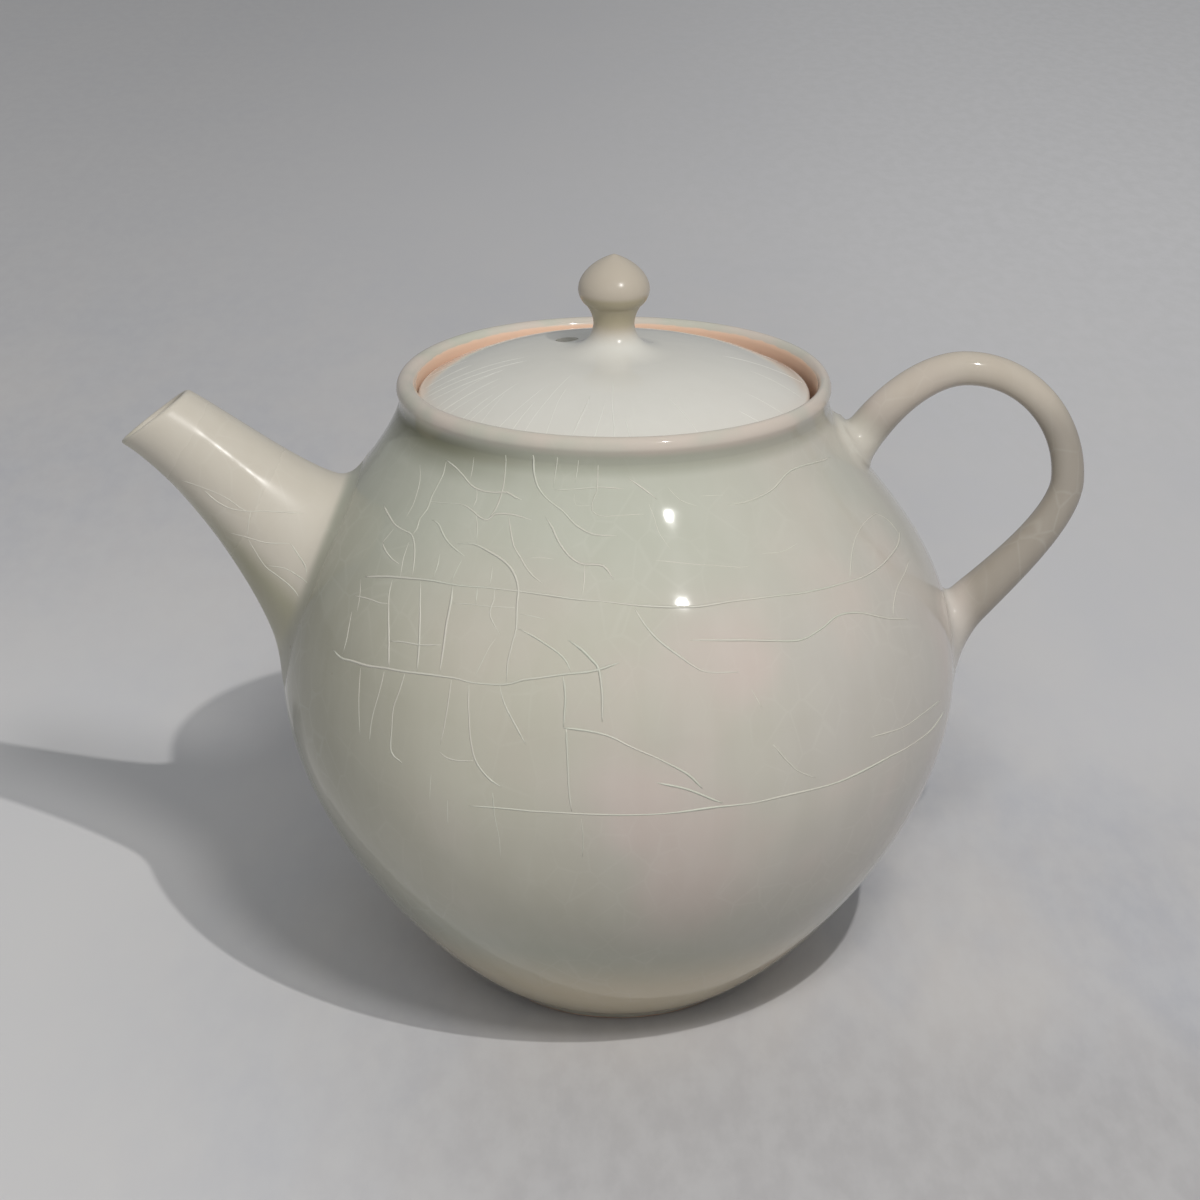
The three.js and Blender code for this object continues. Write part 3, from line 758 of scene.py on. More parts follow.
def apply_cut(piece, cutter):
    cut = piece.modifiers.new("cut", "BOOLEAN")
    cut.object = cutter
    cut.operation = "DIFFERENCE"
    cut.solver = "EXACT"
    bpy.context.view_layer.update()
    depsgraph = bpy.context.evaluated_depsgraph_get()
    shape = bpy.data.meshes.new_from_object(piece.evaluated_get(depsgraph))
    piece.modifiers.clear()
    piece.data = shape
    bpy.data.objects.remove(cutter)
    sharpen(piece)


def lid_flange(material):
    inner = FLANGE_RADIUS - FLANGE_WIDTH
    low = LID_BOTTOM - FLANGE_DEPTH
    soft = 0.7
    outline = np.vstack([
        [(inner, LID_BOTTOM)],
        arc((inner + soft, low + soft), soft, 180, 270, 4),
        arc((FLANGE_RADIUS - soft, low + soft), soft, 270, 360, 5),
        [(FLANGE_RADIUS, LID_BOTTOM)],
    ])
    points, faces = turned(outline, 200)
    sharpen(mesh_object("lid_collar", points, faces, material, "cover", ["lid_flange"]))


# Crackle

def sight(spots):
    """Unit vectors from the camera through spots of the picture."""
    across, down = (np.asarray(spots, float) - PICTURE_MIDDLE).T[..., None]
    pitch = math.radians(CAMERA_PITCH)
    ahead = np.array([0, math.cos(pitch), -math.sin(pitch)])
    up = np.array([0, math.sin(pitch), math.cos(pitch)])
    return unit(ahead * PICTURE_FOCUS + across * np.array([1, 0, 0]) - down * up)


def land(spots, field):
    """Points where the lines of sight through spots of the picture first meet a surface of the pot."""
    ways = sight(spots)
    reach = (-1.1 * GLOBE_RADIUS - CAMERA_PLACE[1]) / ways[:, 1]
    for _ in range(120):
        reach += np.minimum(field(CAMERA_PLACE + ways * reach[:, None]), 1.0)
    return CAMERA_PLACE + ways * reach[:, None]


def smooth_path(points, spacing):
    """A Catmull-Rom curve through points, sampled at about a spacing."""
    points = np.vstack([2 * points[0] - points[1], points, 2 * points[-1] - points[-2]])
    path = []
    for a, b, c, d in zip(points, points[1:], points[2:], points[3:]):
        count = max(2, int(np.linalg.norm(c - b) / spacing))
        for t in np.arange(count) / count:
            path.append(b + 0.5 * t * (c - a + t * (2 * a - 5 * b + 4 * c - d + t * (3 * (b - c) + d - a))))
    path.append(points[-2])
    return np.array(path)


def crackle(name, lines, field, body, material):
    """Fine raised lines that follow a surface. Each line is a pair of strength and 3-D points."""
    rng = np.random.default_rng(7)
    paths = [smooth_path(np.asarray(points), CRACK_SPACING) for _, points in lines]
    counts = [len(path) for path in paths]
    surface = settle(field, np.vstack(paths), rounds=3)
    outward = unit(slope_of(field, surface))
    points, faces, start = [], [], 0
    for (strength, _), count in zip(lines, counts):
        path, normal = surface[start:start + count], outward[start:start + count]
        start += count
        side = unit(np.cross(np.gradient(path, axis=0), normal))
        steps = np.arange(count)
        end = np.minimum(steps, steps[::-1]) * CRACK_SPACING
        knots = np.arange(0, count + CRACK_UNEVEN_STEP, CRACK_UNEVEN_STEP)
        uneven = np.interp(steps, knots, rng.uniform(0.6, 1.15, len(knots)))
        size = strength * uneven * np.clip(CRACK_BLUNTNESS + end / CRACK_TAPER, 0, 1)
        half = side * (CRACK_HALF_WIDTH * size)[:, None]
        knots = np.arange(0, count + CRACK_SWAY_STEP, CRACK_SWAY_STEP)
        sway = side * np.interp(steps, knots, rng.normal(0, CRACK_SWAY, len(knots)))[:, None]
        low = normal * CRACK_SUNK
        ridge = normal * (CRACK_RISE * size)[:, None]
        middle = path + sway
        rows = np.stack([middle - half - low, middle + ridge, middle + half - low, middle - 4 * low], 1)
        first = len(points)
        points.extend(rows.reshape(-1, 3))
        for i in range(count - 1):
            for j in range(4):
                a, b = first + 4 * i + j, first + 4 * i + (j + 1) % 4
                faces.append((a, b, b + 4, a + 4))
        last = first + 4 * (count - 1)
        faces.append((first + 3, first + 2, first + 1, first))
        faces.append((last, last + 1, last + 2, last + 3))
    mesh_object(name, points, faces, material, body)


def on_globe(azimuth, height):
    turn = math.radians(azimuth)
    radius = globe_radius(height)
    return lean([radius * math.cos(turn), radius * math.sin(turn), height])


def on_lid(azimuth, radius):
    turn = math.radians(azimuth)
    return np.array([radius * math.cos(turn) - LEAN, radius * math.sin(turn), lid_height(radius)])


def lid_field(points):
    radius = np.hypot(points[:, 0] + LEAN, points[:, 1])
    return points[:, 2] - lid_height(radius) - lid_warp(points)


# Cracks of the globe and spout, by their strength and the spots of the picture that they pass
SEEN_CRACKS = [
    (1.0, [(365, 577), (396, 578), (420, 580), (448, 584), (472, 587), (518, 591), (548, 595), (587, 601),
           (629, 605), (670, 607), (703, 606), (739, 601), (779, 596), (805, 593), (835, 585), (861, 578),
           (881, 565), (897, 547), (900, 531)]),
    (1.0, [(333, 649), (341, 658), (353, 662), (369, 666), (386, 668), (407, 672), (434, 675), (455, 678),
           (474, 683), (505, 684), (524, 679), (541, 677), (571, 674), (593, 671), (619, 663)]),
    (1.0, [(469, 806), (494, 808), (525, 810), (576, 814), (620, 815), (662, 814), (698, 810), (723, 807),
           (759, 802), (800, 792), (841, 781), (876, 764), (904, 749), (930, 731), (944, 712)]),
    (0.9, [(690, 640), (739, 640), (787, 641), (805, 638), (823, 627), (838, 616), (861, 613), (886, 618),
           (908, 620)]),
    (0.9, [(634, 608), (644, 624), (657, 639), (675, 654), (693, 667), (708, 673), (739, 672)]),
    (0.8, [(875, 513), (864, 524), (856, 537), (851, 555), (850, 578)]),
    (0.6, [(875, 513), (889, 521), (899, 534)]),
    (0.7, [(909, 560), (899, 585), (894, 603), (893, 616)]),
    (0.8, [(728, 504), (749, 501), (772, 490), (790, 472), (813, 463), (830, 457)]),
    (0.8, [(774, 744), (785, 759), (797, 771), (815, 778)]),
    (0.7, [(871, 737), (902, 728), (922, 715), (940, 700)]),
    (0.9, [(657, 783), (688, 790), (723, 803)]),
    (0.6, [(654, 560), (698, 565), (739, 567), (749, 565)]),
    (0.6, [(762, 553), (782, 551), (797, 543)]),
    (0.5, [(751, 690), (762, 708)]),
    (0.9, [(393, 580), (389, 595), (388, 612), (388, 638), (389, 667)]),
    (1.0, [(420, 581), (419, 598), (419, 621), (419, 647), (417, 671)]),
    (1.0, [(452, 586), (450, 604), (446, 626), (443, 647), (439, 672)]),
    (0.7, [(352, 612), (349, 626), (346, 641), (342, 654)]),
    (0.6, [(355, 596), (369, 599), (381, 603), (388, 603)]),
    (0.6, [(361, 579), (360, 596), (357, 612)]),
    (0.8, [(389, 641), (403, 642), (421, 645), (441, 645)]),
    (0.8, [(476, 588), (475, 604)]),
    (0.7, [(452, 604), (472, 604), (491, 606), (515, 608)]),
    (0.7, [(493, 566), (491, 578), (489, 586)]),
    (0.9, [(495, 590), (494, 600), (490, 612), (493, 622), (500, 634)]),
    (1.0, [(458, 544), (474, 544), (493, 554), (503, 561), (512, 571), (517, 581), (519, 592), (518, 605),
           (517, 629), (513, 643), (508, 662), (506, 681)]),
    (0.9, [(519, 629), (531, 635), (544, 643), (558, 653), (566, 662), (571, 674)]),
    (0.5, [(521, 614), (532, 616), (545, 619)]),
    (0.5, [(496, 638), (489, 647), (482, 660), (474, 676)]),
    (1.0, [(568, 640), (580, 648), (593, 661), (599, 670), (602, 695), (602, 722)]),
    (0.9, [(563, 676), (565, 697), (563, 727)]),
    (0.9, [(566, 728), (567, 762), (569, 791), (572, 812)]),
    (1.0, [(563, 728), (585, 731), (611, 737), (636, 749), (662, 761), (688, 774), (703, 788)]),
    (1.0, [(469, 685), (468, 705), (469, 725), (471, 742), (475, 758), (482, 770), (492, 780), (501, 786)]),
    (0.9, [(499, 685), (502, 699), (508, 713), (516, 727), (526, 744)]),
    (0.9, [(405, 674), (400, 691), (394, 709), (392, 727), (391, 752), (402, 763)]),
    (0.8, [(451, 680), (447, 707), (443, 731), (440, 744)]),
    (0.8, [(439, 751), (447, 758), (459, 761), (473, 761)]),
    (0.7, [(385, 672), (380, 691), (372, 719), (369, 742)]),
    (0.5, [(361, 668), (359, 701), (360, 735)]),
    (0.6, [(494, 793), (495, 815), (499, 838), (500, 858)]),
    (0.5, [(447, 800), (448, 825)]),
    (0.5, [(582, 819), (583, 838), (582, 857)]),
    (0.4, [(431, 774), (429, 801)]),
    (1.0, [(532, 455), (533, 471), (537, 486), (544, 496), (553, 504), (563, 511), (575, 524), (593, 534),
           (617, 536)]),
    (0.9, [(546, 517), (553, 528), (558, 540), (570, 557), (583, 565), (603, 566), (614, 579)]),
    (0.8, [(508, 516), (510, 526), (515, 545), (521, 557), (526, 567), (533, 576), (543, 583)]),
    (0.9, [(446, 459), (456, 468), (466, 480), (472, 486), (481, 490), (495, 492), (507, 492), (515, 497),
           (522, 500)]),
    (0.6, [(474, 457), (472, 471), (470, 480)]),
    (0.8, [(505, 455), (505, 468), (503, 488), (500, 499), (496, 509), (489, 519)]),
    (0.6, [(557, 457), (555, 474), (554, 487)]),
    (0.6, [(578, 460), (575, 483)]),
    (0.7, [(554, 490), (575, 489), (598, 487), (624, 489)]),
    (0.6, [(598, 465), (596, 491), (592, 501), (597, 515), (644, 515)]),
    (0.4, [(575, 494), (576, 505), (593, 506)]),
    (0.8, [(628, 479), (642, 488), (657, 499)]),
    (0.6, [(667, 487), (680, 500), (698, 506)]),
    (0.4, [(698, 495), (723, 495)]),
    (0.5, [(585, 563), (584, 583), (582, 598)]),
    (0.4, [(648, 504), (654, 519), (658, 532), (670, 550)]),
    (0.5, [(527, 559), (539, 558), (554, 560)]),
    (0.9, [(383, 505), (388, 514), (396, 525), (403, 530), (411, 535), (414, 545), (414, 560), (412, 576)]),
    (0.8, [(432, 520), (438, 524), (443, 535), (448, 543), (455, 550), (464, 557)]),
    (0.6, [(462, 560), (457, 569), (451, 582)]),
    (0.7, [(440, 554), (438, 564), (434, 578)]),
    (0.8, [(382, 543), (386, 552), (393, 560), (399, 564)]),
    (0.6, [(394, 528), (386, 538), (382, 543)]),
    (0.7, [(409, 542), (403, 559), (400, 577)]),
    (0.8, [(446, 462), (443, 474), (436, 487), (431, 497), (427, 509), (420, 518), (417, 528), (411, 536)]),
    (0.6, [(420, 464), (420, 480), (417, 493), (413, 505), (405, 519)]),
    (0.8, [(427, 501), (443, 503), (460, 504), (468, 508), (474, 513), (480, 518), (488, 520), (495, 514),
           (510, 514), (522, 517), (532, 520)]),
    (0.6, [(476, 490), (476, 499), (472, 509)]),
    (0.6, [(476, 512), (477, 526), (476, 543)]),
    (0.7, [(182, 481), (198, 486), (215, 492), (229, 499), (240, 507), (248, 511)]),
    (0.8, [(204, 492), (215, 501), (229, 508), (248, 512), (266, 512), (303, 514)]),
    (0.7, [(251, 512), (249, 523), (248, 539)]),
    (0.7, [(229, 533), (244, 537), (266, 543), (290, 543)]),
    (0.7, [(290, 543), (298, 555), (305, 566), (307, 575)]),
    (0.7, [(248, 539), (255, 551), (265, 566), (276, 575), (287, 584), (298, 597)]),
    (0.7, [(266, 566), (285, 569), (296, 575), (307, 583)]),
]


def unseen_cracks(rng):
    """Crackle of the side that the picture doesn't show: long level cracks with short ones between them."""
    levels = (44, 68, 82, 97)
    waves = rng.uniform(0, 2 * math.pi, (len(levels), 2))

    def level(i, azimuth):
        a, b = waves[i]
        return levels[i] + 1.8 * math.sin(math.radians(azimuth * 2) + a) + 1.1 * math.sin(
            math.radians(azimuth * 5) + b)

    lines = []
    for i in range(len(levels)):
        azimuth = 4
        while azimuth < 160:
            end = min(azimuth + rng.uniform(50, 95), 176)
            run = np.linspace(azimuth, end, 9)
            lines.append((1.0, [on_globe(a, level(i, a) + rng.normal(0, 0.25)) for a in run]))
            azimuth = end + rng.uniform(-8, 5)
    for i in range(len(levels) - 1):
        azimuth = 9
        while azimuth < 172:
            low, high = level(i, azimuth), level(i + 1, azimuth)
            if rng.random() < 0.3:
                high = low + (high - low) * rng.uniform(0.4, 0.8)
            drift = rng.normal(0, 3.5)
            bend = rng.normal(0, 1.6)
            run = [(azimuth + drift * t + bend * math.sin(math.pi * t), low + (high - low) * t)
                   for t in (0, 0.3, 0.6, 1)]
            lines.append((rng.uniform(0.6, 0.9), [on_globe(a, h) for a, h in run]))
            azimuth += rng.uniform(5, 14)
    for _ in range(26):
        azimuth, height = rng.uniform(24, 156), rng.uniform(50, 98)
        reach, drop = rng.uniform(6, 16) * rng.choice((-1, 1)), rng.uniform(4, 10)
        run = [(azimuth + reach * math.sin(t), height - drop * (1 - math.cos(t)))
               for t in (0, 0.5, 1.0, 1.5)]
        lines.append((rng.uniform(0.6, 0.9), [on_globe(a, h) for a, h in run]))
    return lines


def pot_cracks():
    rings = spout_rings(90)
    field = blended(globe_distance, lambda points: loft_distance(points, rings), SPOUT_FILLET)
    spots = np.vstack([run for _, run in SEEN_CRACKS])
    landed = land(spots, field)
    ends = np.cumsum([len(run) for _, run in SEEN_CRACKS])
    lines = [(strength, points) for (strength, _), points in zip(SEEN_CRACKS, np.split(landed, ends[:-1]))]
    return lines + unseen_cracks(np.random.default_rng(11)), field


def lid_cracks(rng):
    """Fine cracks that run in from the lid's edge, close together towards the front left."""
    lines = []
    azimuth = -178
    while azimuth < 176:
        front = -178 <= azimuth <= -88
        inner = rng.uniform(15, 27) if front else rng.uniform(19, 29)
        drift = rng.normal(0, 3)
        run = [(azimuth + drift * t, 33.0 + (inner - 33.0) * t) for t in (0, 0.35, 0.7, 1)]
        lines.append((rng.uniform(0.3, 0.65), [on_lid(a, r) for a, r in run]))
        azimuth += rng.uniform(3.5, 8) if front else rng.uniform(10, 24)
    return lines


# Materials. Their places are in millimetres in the frame, and their shares run from 0 to 1.

class Nodes:
    """Short ways to add and join shader nodes in one material."""

    def __init__(self, name, material=None):
        self.material = material or bpy.data.materials.new(name)
        self.material.use_nodes = True
        self.tree = self.material.node_tree
        self.shader = self.tree.nodes["Principled BSDF"]

    def add(self, kind, **settings):
        node = self.tree.nodes.new(kind)
        for key, value in settings.items():
            setattr(node, key, value)
        return node

    def fill(self, socket, value):
        """Joins another node's output to a socket, or gives the socket a fixed value."""
        if isinstance(value, bpy.types.NodeSocket):
            self.tree.links.new(value, socket)
        else:
            socket.default_value = value

    def math(self, operation, *values):
        node = self.add("ShaderNodeMath", operation=operation)
        for socket, value in zip(node.inputs, values):
            self.fill(socket, value)
        return node.outputs[0]

    def times(self, first, *others):
        for other in others:
            first = self.math("MULTIPLY", first, other)
        return first

    def plus(self, first, second):
        return self.math("ADD", first, second)

    def minus(self, first, second):
        return self.math("SUBTRACT", first, second)

    def between(self, value, low, high, start=0.0, end=1.0):
        """A smooth step from start, where the value is low, to end, where it is high."""
        node = self.add("ShaderNodeMapRange", interpolation_type="SMOOTHSTEP")
        names = ("Value", "From Min", "From Max", "To Min", "To Max")
        for key, item in zip(names, (value, low, high, start, end)):
            self.fill(node.inputs[key], item)
        return node.outputs[0]

    def mix(self, share, first, second):
        node = self.add("ShaderNodeMix", data_type="RGBA")
        for place, item in ((0, share), (6, first), (7, second)):
            self.fill(node.inputs[place], item)
        return node.outputs[2]

    def place(self, stretch=(1, 1, 1), shift=(0, 0, 0)):
        """Object coordinates in millimetres, stretched and shifted."""
        mapping = self.add("ShaderNodeMapping")
        mapping.inputs["Scale"].default_value = [s / MM for s in stretch]
        mapping.inputs["Location"].default_value = shift
        self.fill(mapping.inputs["Vector"], self.add("ShaderNodeTexCoord").outputs["Object"])
        return mapping.outputs[0]

    def position(self):
        """The three coordinates in millimetres."""
        split = self.add("ShaderNodeSeparateXYZ")
        self.fill(split.inputs[0], self.place())
        return split.outputs

    def noise(self, size, detail=2.0, roughness=0.5, stretch=(1, 1, 1), shift=(0, 0, 0)):
        """Noise whose blotches are about a size across, in millimetres."""
        node = self.add("ShaderNodeTexNoise")
        node.inputs["Scale"].default_value = 1 / size
        node.inputs["Detail"].default_value = detail
        node.inputs["Roughness"].default_value = roughness
        self.fill(node.inputs["Vector"], self.place(stretch, shift))
        return node.outputs["Fac"]

    def cells(self, size, feature, stretch=(1, 1, 1)):
        """Cells about a size across, in millimetres."""
        node = self.add("ShaderNodeTexVoronoi", feature=feature)
        node.inputs["Scale"].default_value = 1 / size
        self.fill(node.inputs["Vector"], self.place(stretch))
        return node.outputs

    def bump(self, height, depth):
        node = self.add("ShaderNodeBump")
        node.inputs["Strength"].default_value = 1.0
        node.inputs["Distance"].default_value = depth * MM
        self.fill(node.inputs["Height"], height)
        self.fill(self.shader.inputs["Normal"], node.outputs[0])

    def surface(self, tone, roughness):
        self.fill(self.shader.inputs["Base Color"], tone)
        self.fill(self.shader.inputs["Roughness"], roughness)

    def matt(self, tone, roughness, specular):
        self.surface(tone, roughness)
        self.shader.inputs["Specular IOR Level"].default_value = specular


def colour(red, green, blue):
    """Linear colour from 0 to 255 screen values."""
    values = [c / 255 for c in (red, green, blue)]
    return [v / 12.92 if v <= 0.04045 else ((v + 0.055) / 1.055) ** 2.4 for v in values] + [1]


def square_from(n, x, y, middle):
    """Square of the level distance from an upright axis that stands at x = middle."""
    across = n.minus(x, middle)
    return n.plus(n.times(across, across), n.times(y, y))


def drifting(n, x, z, left, right, green, pink):
    """A tone that drifts from left to right, pinkish in blots and greenish high and low.

    It comes with the share of pink."""
    drift = n.times(n.minus(n.noise(34, detail=3, roughness=0.45), 0.5), 70.0)
    tone = n.mix(n.between(n.plus(x, drift), -30.0, 55.0), left, right)
    blots = n.noise(30, detail=2, roughness=0.5, shift=(40, 11, 7))
    rightward, upward = n.between(x, -45.0, 10.0), n.between(z, 22.0, 48.0, 0.35, 1.0)
    blush = n.times(n.between(blots, 0.42, 0.68), rightward, upward)
    tone = n.mix(blush, tone, pink)
    away = n.math("ABSOLUTE", n.minus(n.plus(z, n.times(drift, 0.3)), EQUATOR_HEIGHT))
    greenish = n.times(n.between(away, 18.0, 40.0, 0.0, 0.9), n.between(x, 0.0, 40.0, 1.0, 0.5))
    return n.mix(greenish, tone, green), blush


def with_painted_shade_and_bounce(n, x, z, tone):
    """A tone with painted shade, olive to the left and low down, and painted warm bounce light over the
    foot.
    """
    # Painted shade: olive to the left and low down.
    low = n.times(n.between(z, 48.0, 22.0, 0.0, 0.16), n.between(z, 8.0, 20.0))
    painted_shade = n.plus(n.between(x, -20.0, -60.0, 0.0, 0.47), low)
    tone = n.mix(painted_shade, tone, colour(70, 72, 50))
    # Painted warm bounce light over the foot.
    return n.mix(n.between(z, 26.0, 11.0, 0.0, 0.7), tone, colour(211, 196, 168))


def distance_from(n, height):
    """Distance from a point of the pot's axis, in millimetres."""
    measure = n.add("ShaderNodeVectorMath", operation="DISTANCE")
    n.fill(measure.inputs[0], n.place())
    measure.inputs[1].default_value = (AXIS_X, 0, height)
    return measure.outputs["Value"]


def crackled(n, tone):
    """A tone with faint pale runs and a fine net of crackle, clearer in some parts."""
    runs = n.noise(5, detail=2, roughness=0.6, stretch=(1, 1, 0.09))
    pale = n.mix(0.5, tone, (0.9, 0.9, 0.86, 1))
    tone = n.mix(n.between(runs, 0.3, 0.75, 0.0, 0.08), tone, pale)
    edges = n.between(n.cells(NET_SIZE, "DISTANCE_TO_EDGE", (1, 1, 0.7))["Distance"], 0.05, 0.0)
    seen = n.between(n.noise(16, detail=2, shift=(9, 4, 2)), 0.4, 0.65, 0.02, 0.15)
    return n.mix(n.times(edges, seen), tone, n.mix(0.5, tone, (0.75, 0.75, 0.68, 1)))


def speckled(n, tone):
    """A tone with a few iron specks."""
    specks = n.cells(9.0, "F1")
    chosen = n.add("ShaderNodeSeparateColor")
    n.fill(chosen.inputs[0], specks["Color"])
    rare = n.between(chosen.outputs[0], 0.86, 0.88)
    dot = n.times(n.between(specks["Distance"], 0.045, 0.02), rare, 0.5)
    return n.mix(dot, tone, colour(112, 88, 70))


def lip_tone_and_shade(n, x, z, tone):
    """Warm blots on the lip, and a painted olive shade under it and at the neck's left."""
    lip = n.between(z, NECK[1] + 1.0, NECK[1] + 2.5)
    warm = n.times(lip, n.between(n.noise(13, shift=(5, 3, 1)), 0.38, 0.6, 0.15, 0.85))
    tone = n.mix(warm, tone, colour(205, 192, 181))
    # Painted shade under the lip, and the lip's painted shadow on the neck's left.
    under_lip_shade = n.times(n.between(z, 106.5, 108.5), n.between(z, 112.0, 110.0, 0.0, 0.3))
    leftward = n.between(x, -6.0, -32.0, 0.0, 0.6)
    left_neck_shade = n.times(leftward, n.between(z, 103.0, 107.5), n.between(z, 111.0, 109.0))
    return n.mix(n.plus(under_lip_shade, left_neck_shade), tone, colour(104, 104, 80))


def clay_share(n, x, y, z):
    """How bare the clay is: fully so within the mouth, below an uneven edge that rises to the back."""
    radius = n.math("POWER", square_from(n, x, y, AXIS_X - LEAN + BORE_SHIFT), 0.5)
    edge = n.plus(z, n.times(n.minus(n.noise(2.5), 0.5), 0.5))
    edge = n.minus(edge, n.between(y, RISE_START, RISE_END, 0.0, 1.2 * BACK_RISE))
    below = n.between(edge, LIP_HEIGHT - 1.05, LIP_HEIGHT - 1.45)
    within = n.between(radius, MOUTH_RADIUS + 0.75, MOUTH_RADIUS + 0.45)
    return n.times(within, below, n.between(z, BORE_BOTTOM - 1.0, BORE_BOTTOM))


def knob_glaze_and_shade(n, x, y, z, tone):
    """Glaze warm at the lid's thin rim, warmer on the knob, and a khaki painted shade under the bulb."""
    square = square_from(n, x, y, AXIS_X - LEAN)
    rim = n.between(square, (LID_RADIUS - 2.6) ** 2, (LID_RADIUS - 0.6) ** 2, 0.0, 0.8)
    rim = n.times(rim, n.between(y, 3.0, 20.0, 0.1, 1.0))
    tone = n.mix(rim, tone, colour(214, 192, 176))
    tone = n.mix(n.between(z, LID_TOP + 1, LID_TOP + 5), tone, colour(186, 176, 161))
    # Painted shade under the bulb.
    under_bulb = n.between(z, LID_TOP + 10.4, LID_TOP + 9.4)
    bulb_shade = n.times(n.between(z, LID_TOP + 3, LID_TOP + 6), under_bulb, 0.8)
    return n.mix(bulb_shade, tone, colour(166, 157, 130))


def glaze(name, left, right, green, pink, far=None, clay=None, knob=False, dull=None):
    """Glossy crackle glaze with greenish and pinkish drifts, faint runs, a few iron specks, and painted
    light and shade.

    Far from the globe's middle it has the colours of far: one over a slanting level and one under it, which
    is painted shade."""
    n = Nodes(name)
    x, y, z = n.position()
    tone, blush = drifting(n, x, z, left, right, green, pink)
    if not knob:
        tone = with_painted_shade_and_bounce(n, x, z, tone)
    if far:
        away = distance_from(n, far["middle"])
        level = n.plus(z, n.times(x, far["slope"]))
        over = n.mix(blush, far["over"], pink)
        # The under colour is painted shade.
        outer = n.mix(n.between(level, *far["level"]), far["under"], over)
        tone = n.mix(n.between(away, *far["reach"]), tone, outer)
    tone = speckled(n, crackled(n, tone))
    roughness = n.between(n.noise(3.0), 0.2, 0.8, 0.055, 0.09)
    if dull:
        ends = n.plus(n.between(away, *dull[:2]), n.between(away, *dull[2:]))
        roughness = n.plus(roughness, n.plus(n.times(ends, 0.2), 0.06))
    if clay:
        bare = clay_share(n, x, y, z)
        tone = n.mix(bare, lip_tone_and_shade(n, x, z, tone), clay)
        roughness = n.plus(roughness, n.times(bare, 0.6))
    if knob:
        tone = knob_glaze_and_shade(n, x, y, z, tone)
        roughness = n.plus(roughness, n.between(z, LID_TOP + 0.5, LID_TOP + 2.5, 0.0, 0.17))
    n.surface(tone, roughness)
    waves = n.times(n.noise(22, detail=1), 5.0)
    n.bump(n.plus(waves, n.noise(7.0, detail=2, roughness=0.4)), 0.06)
    return n.material


def bare_clay(name, pale, dark):
    """Unglazed clay, fired orange, with a fine sandy grain."""
    n = Nodes(name)
    tone = n.mix(n.between(n.noise(7, detail=3), 0.3, 0.7), pale, dark)
    grain = n.noise(0.35, detail=2, roughness=0.7)
    sandy = n.mix(0.5, tone, (0.16, 0.09, 0.05, 1))
    n.matt(n.mix(n.between(grain, 0.35, 0.7, 0.0, 0.3), tone, sandy), 0.85, 0.25)
    n.bump(grain, 0.04)
    return n.material


def foot_skin(name, pale, dark, glazed):
    """Bare clay where the foot stands, with the pot's glaze run down over its outside."""
    n = Nodes(name, bare_clay(name, pale, dark))
    x, y, z = n.position()
    square = square_from(n, x, y, AXIS_X)
    outside = n.between(square, (FOOT[0] - 1.4)**2, (FOOT[0] - 1.1)**2)
    share = n.times(outside, n.between(n.plus(z, n.times(n.noise(3), 0.4)), 0.45, 0.6))
    bare = n.shader.inputs["Base Color"].links[0].from_socket
    n.surface(n.mix(share, bare, glazed), n.between(share, 0.0, 1.0, 0.85, 0.12))
    return n.material


def crack_lines(name, pale, greenish):
    """The lips of the cracks, where the glaze is thicker and paler."""
    n = Nodes(name)
    n.surface(n.mix(n.between(n.noise(18, detail=2), 0.35, 0.65), pale, greenish), 0.3)
    return n.material


def paper_with_painted_light_and_shade(name):
    """Pale, faintly mottled table, with painted light to the left, to the right and far back, and painted
    shade in front of the pot.
    """
    n = Nodes(name)
    x, y, _ = n.position()
    as_seen = (1, 0.4, 1)
    broad = n.noise(45, detail=4, roughness=0.6, stretch=as_seen)
    tone = n.mix(n.between(broad, 0.3, 0.7), colour(180, 181, 187), colour(195, 192, 191))
    in_view = n.between(y, -300.0, -100.0)
    # Painted light, lighter to the left.
    leftward = n.times(n.between(x, 10.0, -130.0), n.between(y, 330.0, 60.0, 0.0, 0.9), in_view)
    tone = n.mix(leftward, tone, colour(206, 205, 206))
    # Painted light, lighter to the right.
    rightward = n.times(n.between(x, 40.0, 120.0), n.between(y, 30.0, 120.0, 0.0, 0.7))
    tone = n.mix(rightward, tone, colour(206, 205, 207))
    # Painted shade in front of the pot.
    near = n.times(n.between(x, -60.0, 0.0), n.between(y, -5.0, -60.0, 0.0, 0.9), in_view)
    tone = n.mix(near, tone, colour(175, 173, 174))
    # Painted light, lighter far back and to the right.
    back = n.mix(n.between(x, -230.0, 230.0), colour(194, 193, 195), colour(226, 225, 227))
    tone = n.mix(n.between(y, 20.0, 700.0, 0.0, 0.9), tone, back)
    fine = n.noise(5, detail=3, roughness=0.6, stretch=as_seen)
    grey = n.mix(0.5, tone, (0.6, 0.6, 0.6, 1))
    n.matt(n.mix(n.between(fine, 0.3, 0.7, 0.0, 0.5), tone, grey), 0.9, 0.2)
    return n.material


# Stage

def table(material):
    half = 4.0
    mesh = bpy.data.meshes.new("table")
    corners = [(-half, -half, 0), (half, -half, 0), (half, half, 0), (-half, half, 0)]
    mesh.from_pydata(corners, [], [(0, 1, 2, 3)])
    floor = linked("table", mesh)
    floor.data.materials.append(material)


def point_at(thing, place, target):
    """Places a lamp so that it looks at a target, both in millimetres from the pot's axis."""
    start, end = Vector(in_frame(place)), Vector(in_frame(target))
    thing.location = start
    thing.rotation_euler = (end - start).to_track_quat("-Z", "Y").to_euler()


